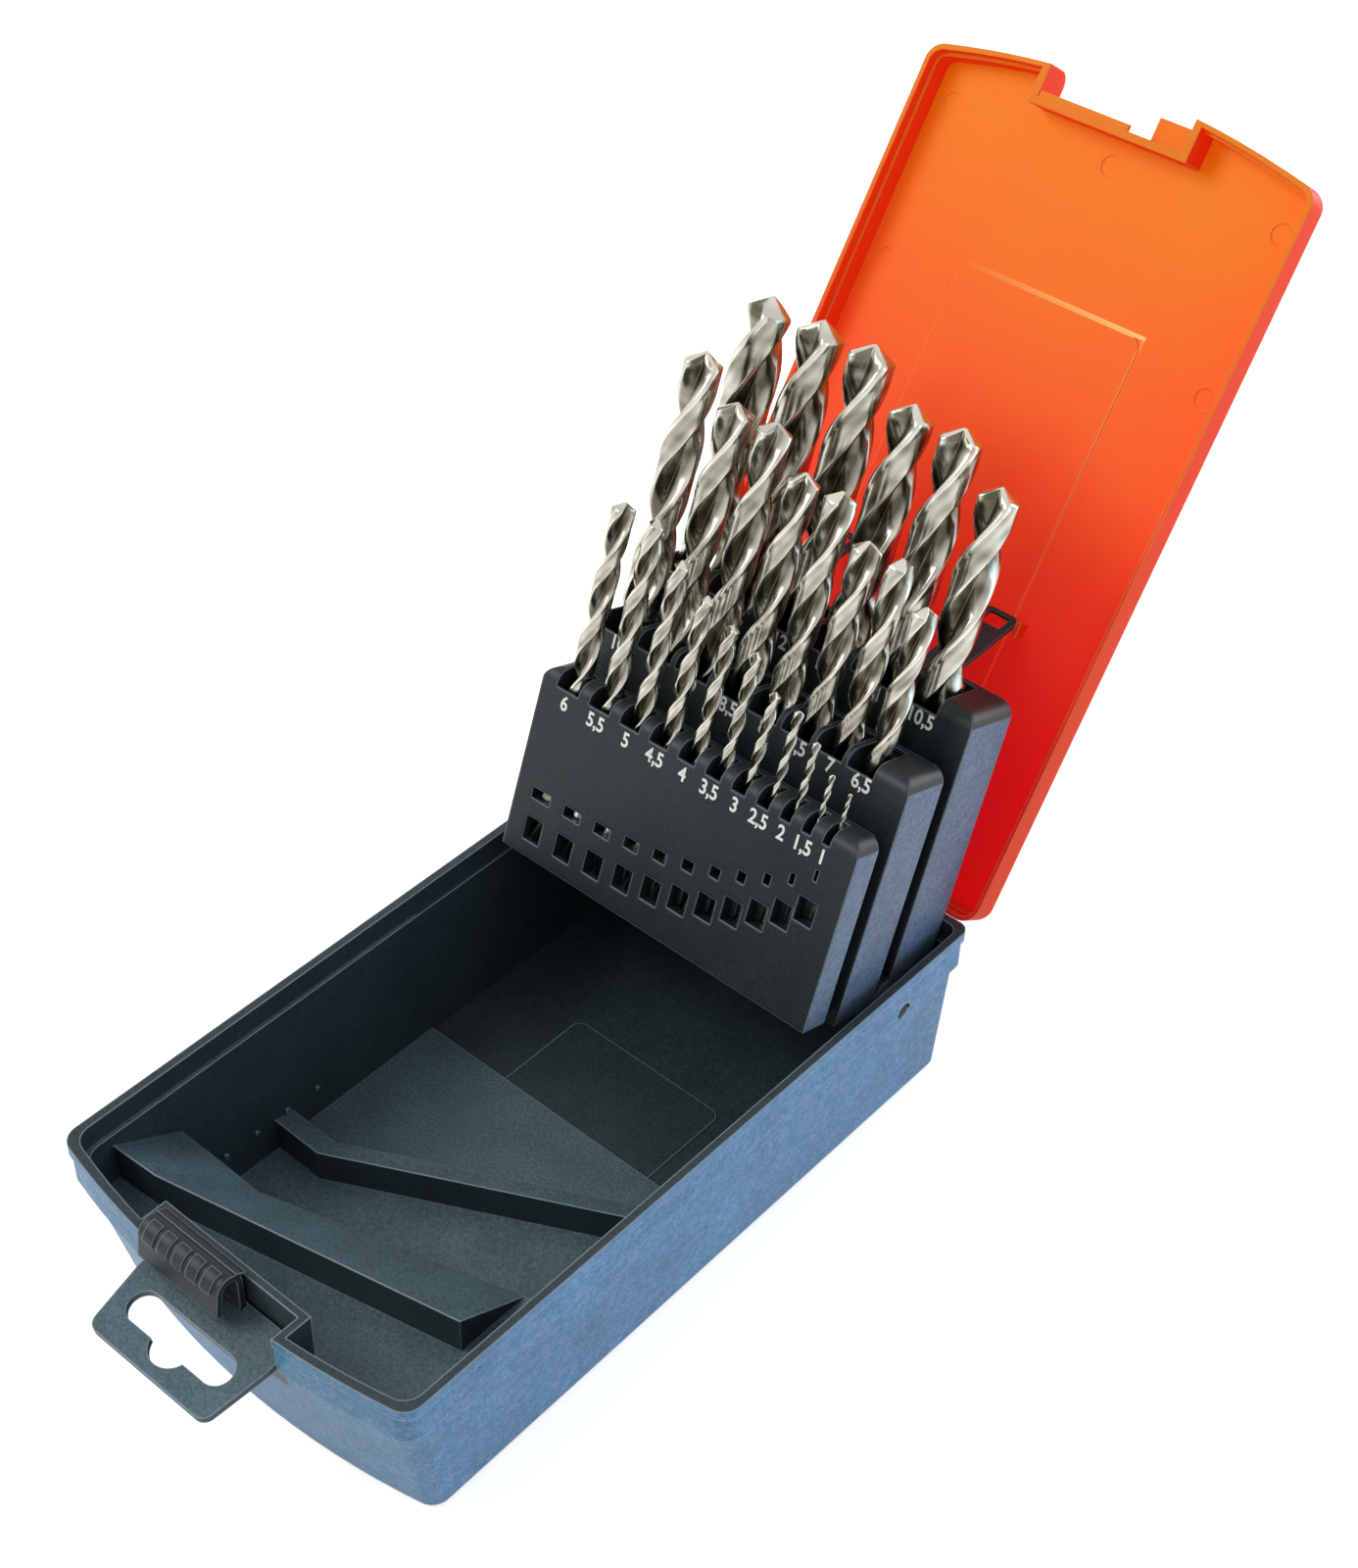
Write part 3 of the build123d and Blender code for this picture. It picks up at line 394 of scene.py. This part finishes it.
def black_acetal(name, black_hex):
    """Acetal rod, black and a little waxy."""
    material, tree = new_material(name)
    place = add_node(tree, "TexCoord")["Object"]
    waxy = add_node(tree, "TexNoise", {"Vector": place, "Scale": 1 / (0.5 * MM)})["Fac"]
    matt = add_node(tree, "MapRange", (waxy, 0.0, 1.0, 0.4, 0.6))[0]
    shader = add_node(tree, "BsdfPrincipled", {"Base Color": linear(black_hex),
                                               "Specular IOR Level": 0.2, "Roughness": matt})
    add_node(tree, "OutputMaterial", (shader["BSDF"],))
    return material


def printed_ink(name, ink_hex):
    """Pad-printed ink: thin, opaque and a little uneven."""
    material, tree = new_material(name)
    place = add_node(tree, "TexCoord")["Object"]
    uneven = add_node(tree, "TexNoise", {"Vector": place, "Scale": 1 / (0.5 * MM)})["Fac"]
    fade = add_node(tree, "MapRange", (uneven, 0.3, 1.0, 0.15, 0.0))[0]
    # Where the ink is thin, the charcoal under it shows through and darkens it.
    thin = [channel * 0.55 for channel in linear(ink_hex)[:3]] + [1.0]
    ink = add_node(tree, "Mix", {0: fade, 6: linear(ink_hex), 7: thin}, data_type="RGBA")[2]
    shader = add_node(tree, "BsdfPrincipled", {"Base Color": ink, "Roughness": 0.5})
    add_node(tree, "OutputMaterial", (shader["BSDF"],))
    return material


# ---------------------------------------------------------------- sizes and colours
class BitSettings(bpy.types.PropertyGroup):
    """Shape and colours of the twist bits"""
    helix: bpy.props.FloatProperty(
        name="Helix", description="Slope of the flutes at the outside",
        default=math.radians(29), subtype="ANGLE")
    point: bpy.props.FloatProperty(
        name="Point", description="Angle across the cutting point",
        default=math.radians(118), subtype="ANGLE")
    web: bpy.props.FloatProperty(
        name="Web", description="Thickness left between the flutes, over the diameter",
        default=0.2, min=0.05, max=0.5)
    land: bpy.props.FloatProperty(
        name="Land", description="Share of the half turn that each land takes",
        default=0.46, min=0.2, max=0.8)
    # The pale and dark steel colours carry painted reflection and shade besides the finish and its
    # stains.
    pale: bpy.props.StringProperty(
        name="Pale steel", description="Colour of clean ground steel", default="#DAD8CA")
    dark: bpy.props.StringProperty(
        name="Dark steel", description="Colour of stained ground steel", default="#5A5747")


class PrintSettings(bpy.types.PropertyGroup):
    """Size and colour of the printed figures"""
    height: bpy.props.FloatProperty(
        name="Height", description="Height of the printed sizes",
        default=3.9 * MM, unit="LENGTH")
    narrow: bpy.props.FloatProperty(
        name="Narrowing", description="Width of the figures, over their usual width",
        default=0.86)
    ink: bpy.props.StringProperty(
        name="Ink", description="Colour of the printed sizes", default="#F4F5F2")


class PlasticSettings(bpy.types.PropertyGroup):
    """Colours of the plastics, and the places that they change at"""
    charcoal: bpy.props.StringProperty(
        name="Charcoal", description="Colour of the tray's smooth plastic", default="#2B373C")
    rack: bpy.props.StringProperty(
        name="Rack", description="Colour of the rack, latch and straps", default="#1C2427")
    # The slate blue of the textured sides is partly a painted bluish sheen.
    slate: bpy.props.StringProperty(
        name="Slate", description="Colour of the textured outer sides", default="#3F7698")
    slate_fleck: bpy.props.StringProperty(
        name="Slate flecks", description="Paler drift in the textured sides", default="#5C80A6")
    # The blue of the rack's sides is partly a painted bluish sheen.
    rack_side: bpy.props.StringProperty(
        name="Rack sides", description="Colour of the rack's textured sides", default="#51687A")
    rack_fleck: bpy.props.StringProperty(
        name="Rack side flecks", description="Paler drift in the rack's sides",
        default="#5F6E85")
    eroded: bpy.props.StringProperty(
        name="Textured floor", description="Colour of the textured floor", default="#4B6068")
    # Pale painted highlight along the outer edges.
    charcoal_highlight: bpy.props.StringProperty(
        name="Charcoal edges", description="Colour of handled edges", default="#A3B5BF")
    pocket_half: bpy.props.FloatProperty(
        name="Pocket's half width", description="Half the latch pocket's width",
        default=20 * MM, unit="LENGTH")
    pocket_foot: bpy.props.FloatProperty(
        name="Pocket's foot", description="Height of the latch pocket's floor",
        default=28 * MM, unit="LENGTH")
    plateau_edge: bpy.props.FloatProperty(
        name="Textured floor's end", description="Rear end of the textured floor",
        default=12.5 * MM, unit="LENGTH")
    # The lid's colour is painted from shade by the hinge to light by the latch.
    lid_shaded_low: bpy.props.StringProperty(
        name="Lid, low", description="Lid's colour by the hinge", default="#FF4048")
    lid_lit_high: bpy.props.StringProperty(
        name="Lid, high", description="Lid's colour by the latch", default="#F0A810")
    # The walls' colour is painted shade.
    lid_shaded_wall: bpy.props.StringProperty(
        name="Lid walls", description="Colour of the lid's walls", default="#F4521C")
    # Pale painted highlight along the lid's thin outer edges.
    lid_edge_highlight: bpy.props.StringProperty(
        name="Lid edges", description="Colour of the lid's thin edges", default="#FFB860")
    lid_glint: bpy.props.StringProperty(
        name="Panel's glint", description="Colour of the label panel's lit edges",
        default="#FFF6A0")
    lid_lean: bpy.props.FloatProperty(
        name="Lid's lean", description="Lean of the open lid, back from upright",
        default=math.radians(34.4), subtype="ANGLE")
    panel_rise: bpy.props.FloatProperty(
        name="Panel's rise", description="Label panel's face from the lid's back",
        default=2.4 * MM, unit="LENGTH")
    panel_clear: bpy.props.FloatProperty(
        name="Panel's reach", description="Most that the panel reaches sideways",
        default=45 * MM, unit="LENGTH")


class PinSettings(bpy.types.PropertyGroup):
    """Colours of the pins"""
    # The pivot pins' near black also stands in for the shade in the pivot holes.
    pivot: bpy.props.StringProperty(
        name="Pivots", description="Colour of the rack's pivot pins", default="#0D1113")
    wire: bpy.props.StringProperty(
        name="Hinge wires", description="Colour of the hinge's steel wires", default="#B9BABA")


class StageSettings(bpy.types.PropertyGroup):
    """Floor's colour, and the camera"""
    floor: bpy.props.StringProperty(
        name="Floor", description="Colour of the floor", default="#F2F2F0")
    aim: bpy.props.FloatVectorProperty(
        name="Aim", description="Point that the camera looks at",
        default=(-0.068432, 0.130821, 0.0), subtype="XYZ", unit="LENGTH")
    azimuth: bpy.props.FloatProperty(
        name="Azimuth", description="Camera's turn to the right",
        default=math.radians(40.142), subtype="ANGLE")
    elevation: bpy.props.FloatProperty(
        name="Elevation", description="Camera's height angle",
        default=math.radians(41.494), subtype="ANGLE")
    roll: bpy.props.FloatProperty(
        name="Roll", description="Camera's turn about its own line",
        default=math.radians(1.701), subtype="ANGLE")
    distance: bpy.props.FloatProperty(
        name="Distance", description="Camera's distance from its aim",
        default=0.758489, unit="LENGTH")
    lens: bpy.props.FloatProperty(
        name="Lens", description="Focal length", default=69.108, unit="CAMERA")


# ---------------------------------------------------------------- bits
# Behind its margin a land is ground back to this share of the radius.
BODY_SHARE = 0.96
# The margin takes this share of a land.
MARGIN_SHARE = 0.16
# The flutes deepen over this many diameters from the shank.
RUNOUT_DIAMETERS = 1.3
# The body ends this many times the point's height below the tip.
POINT_SHARE = 1.3
# One ring of corners for each step of twist, and a crease where faces meet more sharply.
TWIST_STEP = math.radians(9)
CREASE = math.radians(32)
# Places on the steel's map: the bright margin, partly a painted highlight, and the darker face of
# the shank's foot.
BRIGHT, DULL = 0.02, 0.3


def flute_profile(settings, size, count):
    """Angles, radii and shares of a half turn round one bit, for its two lands and two flutes."""
    radius = size / 2 * MM
    core = radius * settings.web
    body = radius * BODY_SHARE
    margin = settings.land * MARGIN_SHARE
    profile = []
    for index in range(count + 1):
        turns = 2 * index / count
        phase = turns % 1.0
        if phase <= margin:
            reach = radius
        elif phase <= settings.land:
            reach = body
        else:
            # The flute falls steeply from the heel and rises straight to the next cutting edge,
            # which the last 7% of it brings out to the full radius.
            share = (phase - settings.land) / (1 - settings.land)
            depth = math.sin(math.pi * share ** 0.8) ** 0.7
            reach = body * (1 - depth) + core * depth
            reach += (radius - reach) * max(0.0, (share - 0.93) / 0.07)
        profile.append((math.pi * turns, reach, turns))
    return profile


def bit_mesh(settings, size):
    """Mesh of one twist bit standing in its socket, with a map of the way round and along it."""
    node = bit_node(size)
    seat, tip = span(node, up)
    seat += HAIR
    length = tip - seat
    radius = size / 2 * MM
    low, high = span(node, across)
    back, front = span(node, forward)
    foot = pivot + across * (low + high) / 2 + forward * (back + front) / 2 + up * seat
    flutes = FLUTE_LENGTHS[size] * MM
    start = length - flutes
    twist = math.tan(settings.helix) / radius
    slope = 1 / math.tan(settings.point / 2)
    shoulder = flutes - radius * slope * POINT_SHARE
    # Corners round the bit: more on the thick ones, which show them.
    count = 60 if size >= 6 else 36
    profile = flute_profile(settings, size, count)
    runout = RUNOUT_DIAMETERS * size * MM
    steps = max(12, round(shoulder * twist / TWIST_STEP))
    heights = [0.0, 0.3 * MM] + [start * share for share in (0.35, 0.7, 1.0)]
    heights += [start + shoulder * index / steps for index in range(1, steps + 1)]
    made = bmesh.new()
    around_along = made.loops.layers.uv.new("around_along")

    def corner(reach, angle, z):
        turn = angle + twist * (min(z, start + shoulder) - start)
        return made.verts.new(foot + across * (reach * math.cos(turn))
                              - forward * (reach * math.sin(turn)) + up * z)

    rings = []
    for level, z in enumerate(heights):
        # The cut starts and ends smoothly.
        cut = min(max((z - start) / runout, 0.0), 1.0)
        cut *= cut * (3 - 2 * cut)
        # The foot of the shank is a little chamfered.
        chamfer = 0.93 if level == 0 else 1.0
        rings.append([corner((radius + (reach - radius) * cut) * chamfer, angle, z)
                      for angle, reach, _ in profile[:-1]])
    # The point: rings shrinking to the chisel edge, each lip higher than the heel behind it.
    for share in (1.0, 0.8, 0.55, 0.3, 0.12):
        ring = []
        for angle, reach, turns in profile[:-1]:
            relief = 0.09 * reach * share * min(turns % 1.0 / settings.land, 1.0)
            ring.append(corner(reach * share, angle, length - reach * share * slope - relief))
        rings.append(ring)

    def face(corners, places):
        added = made.faces.new(corners)
        added.smooth = True
        for loop, place in zip(added.loops, places):
            loop[around_along].uv = place

    for level, (lower, upper) in enumerate(zip(rings, rings[1:])):
        low_z, high_z = ((ring[0].co - foot).dot(up) / MM for ring in (lower, upper))
        for index in range(count):
            following = (index + 1) % count
            near, far = profile[index][2], profile[index + 1][2]
            if level >= len(heights):
                # The ground flanks of the point are as bright as the margins, a painted highlight.
                near = far = BRIGHT
            face((lower[index], lower[following], upper[following], upper[index]),
                 ((near, low_z), (far, low_z), (far, high_z), (near, high_z)))
    tip_corner = made.verts.new(foot + up * (length - 0.03 * radius))
    foot_corner = made.verts.new(foot)
    for index in range(count):
        following = (index + 1) % count
        face((rings[-1][index], rings[-1][following], tip_corner), ((BRIGHT, length / MM),) * 3)
        face((rings[0][following], rings[0][index], foot_corner), ((DULL, 0.0),) * 3)
    for edge in made.edges:
        if len(edge.link_faces) == 2 and edge.calc_face_angle(0) > CREASE:
            edge.smooth = False
    made.normal_update()
    data = bpy.data.meshes.new(f"twist_{node}")
    made.to_mesh(data)
    made.free()
    return data


class DRILLCASE_OT_bits(bpy.types.Operator):
    """Build every bit of the rack with its flutes and point"""
    bl_idname = "drillcase.bits"
    bl_label = "Twist bits"

    def execute(self, context):
        settings = context.scene.drillcase_bits
        steel = ground_steel("high speed steel, ground bright", settings.pale, settings.dark,
                             roughness=0.2, line_mm=0.5)
        for tier in TIER_BITS:
            for size in sizes_of(tier):
                node = bit_node(size)
                twisted = bit_mesh(settings, size)
                piece = new_piece(f"twist_{node}", twisted, node, steel)
                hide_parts(node)
        return {"FINISHED"}


# ---------------------------------------------------------------- printed sizes
# Height of the built-in font's figures, over its size.
FIGURE_SHARE = 0.73
# Each tier's drop of the figures' middle below its top edge, and their shift to the right.
FIGURE_PLACES = {
    "rack_front": (7.5 * MM, 0),
    "rack_middle": (6.3 * MM, 1.3 * MM),
    "rack_rear": (6.7 * MM, 2 * MM),
}


def figures_mesh(settings, tier, drop, shift):
    """Flat figures for the bits of a tier, on its front face below its top and by its bits."""
    face = front_of(tier)
    top = span(tier, up)[1]
    made = bmesh.new()
    for size in sizes_of(tier):
        text = f"{size:g}".replace(".", ",")
        curve = bpy.data.curves.new("figures", "FONT")
        curve.body = text
        # Drawn one unit high and scaled down after, as its line thickens soundly only at that size.
        curve.size = 1 / FIGURE_SHARE
        curve.offset = 0.03
        curve.align_x = "CENTER"
        curve.align_y = "CENTER"
        holder = bpy.data.objects.new("figures", curve)
        bpy.context.scene.collection.objects.link(holder)
        bpy.context.view_layer.update()
        drawn = holder.evaluated_get(bpy.context.evaluated_depsgraph_get())
        data = bpy.data.meshes.new_from_object(drawn)
        bpy.data.objects.remove(holder)
        low, high = span(bit_node(size), across)
        origin = (pivot + across * ((low + high) / 2 + shift) + up * (top - drop)
                  + forward * (face + HAIR))
        for corner in data.vertices:
            x, y, _ = corner.co
            corner.co = origin + settings.height * (across * (x * settings.narrow) + up * y)
        made.from_mesh(data)
        bpy.data.meshes.remove(data)
    joined = bpy.data.meshes.new(f"sizes_{tier}")
    made.to_mesh(joined)
    made.free()
    return joined


class DRILLCASE_OT_printed_sizes(bpy.types.Operator):
    """Print each bit's size in millimetres on the rack"""
    bl_idname = "drillcase.printed_sizes"
    bl_label = "Printed sizes"

    def execute(self, context):
        settings = context.scene.drillcase_print
        ink = printed_ink("white pad-printing ink", settings.ink)
        for tier, (drop, shift) in FIGURE_PLACES.items():
            figures = figures_mesh(settings, tier, drop, shift)
            new_piece(f"sizes_{tier}", figures, "rack", ink)
        return {"FINISHED"}


# ---------------------------------------------------------------- plastics and pins
# Half the width of the bright line along the label panel's edges.
GLINT_HALF = 0.4 * MM


class DRILLCASE_OT_charcoal(bpy.types.Operator):
    """Finish the tray, latch and rack"""
    bl_idname = "drillcase.charcoal"
    bl_label = "Tray, latch and rack"

    def execute(self, context):
        settings = context.scene.drillcase_plastic
        tray_half, rack_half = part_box("base_tray")[1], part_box("rack_middle")[1]
        # ABS keeps its shape and takes the tool's texture crisply: slate sides, partly a painted
        # bluish sheen, a smooth inside, and a painted pale highlight on the outer edges.
        tray = moulded_charcoal(
            "charcoal ABS, moulded for the tray", settings, settings.charcoal,
            sides=(settings.slate, settings.slate_fleck), half=tray_half.xy, share=0.88,
            rounding=0.6 * MM, highlight_share=0.9,
            eroded=(settings.plateau_edge, 0.9 * tray_half.z),
            pocket=(settings.pocket_half, -0.7 * tray_half.y, settings.pocket_foot))
        # The rack is the same plastic, darker, with a fainter painted edge highlight and broader
        # rounded edges.
        rack = moulded_charcoal(
            "charcoal ABS, moulded for the rack", settings, settings.rack,
            sides=(settings.rack_side, settings.rack_fleck), half=(rack_half.x,), share=0.97,
            rounding=1.2 * MM, highlight_share=0.5)
        dress(["base_tray", "hanger_plate"], tray)
        dress(["rack_front", "rack_middle", "rack_rear", "snap_tongue"], rack)
        return {"FINISHED"}


class DRILLCASE_OT_lid(bpy.types.Operator):
    """Finish the tinted lid"""
    bl_idname = "drillcase.lid"
    bl_label = "Lid"

    def execute(self, context):
        settings = context.scene.drillcase_plastic
        low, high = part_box("lid")
        lean = settings.lid_lean
        facing = Vector((0, -math.cos(lean), math.sin(lean)))
        corners = [corner.co for corner in frame["nodes"]["lid"].data.vertices]
        level = min(facing.dot(corner) for corner in corners) + settings.panel_rise
        # The label panel's corners are the ones at its level, clear of the lid's walls.
        panel = [corner for corner in corners if abs(facing.dot(corner) - level) < HAIR
                 and abs(corner.x) < settings.panel_clear]
        right, top = max(corner.x for corner in panel), max(corner.z for corner in panel)
        width = right - min(corner.x for corner in panel)
        height = top - min(corner.z for corner in panel)
        tinted = translucent_lid("orange polypropylene, moulded translucent", settings, facing,
                                 (right, top, width, height, GLINT_HALF), low.z, high.z)
        dress(["lid"], tinted)
        return {"FINISHED"}


class DRILLCASE_OT_straps(bpy.types.Operator):
    """Finish the two straps and the pins"""
    bl_idname = "drillcase.straps"
    bl_label = "Straps and pins"

    def execute(self, context):
        plastics, pins = context.scene.drillcase_plastic, context.scene.drillcase_pins
        # Polypropylene bends without breaking. These straps' tool was smooth, so they're plain,
        # and its IOR is near enough to that of ABS to share the finish.
        # The straps' outer edges get only a faint painted highlight.
        smooth = moulded_charcoal(
            "charcoal polypropylene, moulded smooth", plastics, plastics.rack,
            sides=(plastics.rack, plastics.rack), half=(1.0,), share=1.0,
            rounding=0.4 * MM, highlight_share=0.3)
        dress(["link_strap_left", "link_strap_right"], smooth)
        # The pins are near black, which also stands in for the shade in the pivot holes.
        rod = black_acetal("black acetal, turned", pins.pivot)
        dress(["pivot_pin_left", "pivot_pin_right"], rod)
        wire = drawn_wire("mild steel wire, drawn", pins.wire, roughness=0.32)
        dress(["hinge_pin_left", "hinge_pin_right"], wire)
        return {"FINISHED"}


# ---------------------------------------------------------------- stage
WHITE = "#FFFFFF"
# Each softbox: its place and size in metres, its power in watts, and its light's colour.
SOFTBOXES = {
    "key softbox": ((-0.75, -0.75, 1.15), 0.7, 11.0, WHITE),
    "cool side fill": ((1.2, 0.25, 0.35), 0.8, 5.0, "#A9C8F0"),
    "back softbox": ((0.3, 1.15, 0.25), 0.7, 7.2, WHITE),
}
# The softboxes all face the middle of the case.
CASE_MIDDLE = Vector((0, 0.05, 0.08))
# The floor reaches this far from the middle in metres, and lies just clear of the case's foot.
FLOOR_REACH = 4.0
FLOOR_GAP = 0.2 * MM


def seen_directly(tree):
    """1 for rays from the camera, a mirror or a clear piece, and 0 for light on the object."""
    path = add_node(tree, "LightPath")
    mirrored = add_node(tree, "Math", (path["Is Camera Ray"], path["Is Glossy Ray"]),
                        operation="MAXIMUM")[0]
    return add_node(tree, "Math", (mirrored, path["Is Transmission Ray"]),
                    operation="MAXIMUM")[0]


def pale_floor(colour):
    """Floor under the case: matt paint that glows a little where it's seen, to pass for white."""
    plane = bmesh.new()
    bmesh.ops.create_grid(plane, x_segments=1, y_segments=1, size=FLOOR_REACH)
    data = bpy.data.meshes.new("floor")
    plane.to_mesh(data)
    plane.free()
    material, tree = new_material("pale floor")
    paint = add_node(tree, "BsdfDiffuse", (linear(colour),))
    white = add_node(tree, "Emission", (linear(WHITE), 0.6))
    glow = add_node(tree, "AddShader", (paint["BSDF"], white["Emission"]))
    mixed = add_node(tree, "MixShader", (seen_directly(tree), paint["BSDF"], glow["Shader"]))
    add_node(tree, "OutputMaterial", (mixed["Shader"],))
    data.materials.append(material)
    floor = bpy.data.objects.new("floor", data)
    floor.location = (0, 0, cad_box[0][2] - FLOOR_GAP)
    bpy.context.scene.collection.objects.link(floor)


def white_studio():
    """World that looks white, and lights the case half as strongly."""
    world = bpy.data.worlds.new("white studio")
    world.use_nodes = True
    tree = world.node_tree
    tree.nodes.clear()
    strength = add_node(tree, "MapRange", (seen_directly(tree), 0.0, 1.0, 0.5, 1.0))[0]
    sky = add_node(tree, "Background", (linear(WHITE), strength))
    add_node(tree, "OutputWorld", (sky["Background"],))
    bpy.context.scene.world = world


def softbox(name, place, size, power, tint):
    """Square soft light at a place, turned towards the case."""
    lamp = bpy.data.lights.new(name, "AREA")
    lamp.size = size
    lamp.energy = power
    lamp.color = linear(tint)[:3]
    holder = bpy.data.objects.new(name, lamp)
    holder.location = place
    holder.rotation_euler = (CASE_MIDDLE - Vector(place)).to_track_quat("-Z", "Y").to_euler()
    bpy.context.scene.collection.objects.link(holder)


def camera_at(settings):
    """Camera at a distance from its aim, by its two angles and its roll."""
    azimuth, elevation, roll = settings.azimuth, settings.elevation, settings.roll
    back = Vector((math.sin(azimuth) * math.cos(elevation),
                   -math.cos(azimuth) * math.cos(elevation), math.sin(elevation)))
    right = Vector((math.cos(azimuth), math.sin(azimuth), 0))
    top = back.cross(right)
    turned_right = right * math.cos(roll) + top * math.sin(roll)
    turned_top = top * math.cos(roll) - right * math.sin(roll)
    lens = bpy.data.cameras.new("camera")
    lens.sensor_fit = "HORIZONTAL"
    lens.sensor_width = 36.0
    lens.lens = settings.lens
    camera = bpy.data.objects.new("camera", lens)
    turn = Matrix((turned_right, turned_top, back)).transposed().to_4x4()
    place = Vector(settings.aim) + back * settings.distance
    camera.matrix_world = Matrix.Translation(place) @ turn
    bpy.context.scene.collection.objects.link(camera)
    bpy.context.scene.camera = camera


class DRILLCASE_OT_stage(bpy.types.Operator):
    """Add the floor, the soft lights, the white surroundings and the camera"""
    bl_idname = "drillcase.stage"
    bl_label = "Stage"

    def execute(self, context):
        settings = context.scene.drillcase_stage
        context.scene.view_settings.view_transform = "Standard"
        pale_floor(settings.floor)
        white_studio()
        for name, (place, size, power, tint) in SOFTBOXES.items():
            softbox(name, place, size, power, tint)
        camera_at(settings)
        return {"FINISHED"}


# ---------------------------------------------------------------- panel and registration
class DRILLCASE_PT_panel(bpy.types.Panel):
    """Lists the operators of the bit case"""
    bl_idname = "DRILLCASE_PT_panel"
    bl_label = "Bit Case"
    bl_space_type = "VIEW_3D"
    bl_region_type = "UI"
    bl_category = "Bit Case"

    def draw(self, context):
        for operator in OPERATORS:
            self.layout.operator(operator.bl_idname)


SETTINGS = {"drillcase_bits": BitSettings, "drillcase_print": PrintSettings,
            "drillcase_plastic": PlasticSettings, "drillcase_pins": PinSettings,
            "drillcase_stage": StageSettings}
OPERATORS = (DRILLCASE_OT_stage, DRILLCASE_OT_charcoal, DRILLCASE_OT_lid, DRILLCASE_OT_straps,
             DRILLCASE_OT_bits, DRILLCASE_OT_printed_sizes)


def register():
    """Register the settings, operators and panel."""
    for group in SETTINGS.values():
        bpy.utils.register_class(group)
    for operator in OPERATORS:
        bpy.utils.register_class(operator)
    bpy.utils.register_class(DRILLCASE_PT_panel)
    for name, group in SETTINGS.items():
        setattr(bpy.types.Scene, name, bpy.props.PointerProperty(type=group))


def unregister():
    """Take the settings, operators and panel back out."""
    for name in SETTINGS:
        delattr(bpy.types.Scene, name)
    bpy.utils.unregister_class(DRILLCASE_PT_panel)
    for operator in reversed(OPERATORS):
        bpy.utils.unregister_class(operator)
    for group in reversed(list(SETTINGS.values())):
        bpy.utils.unregister_class(group)


def main():
    """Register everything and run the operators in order."""
    register()
    for operator in OPERATORS:
        group, name = operator.bl_idname.split(".")
        getattr(getattr(bpy.ops, group), name)()


if __name__ == "__main__":
    main()
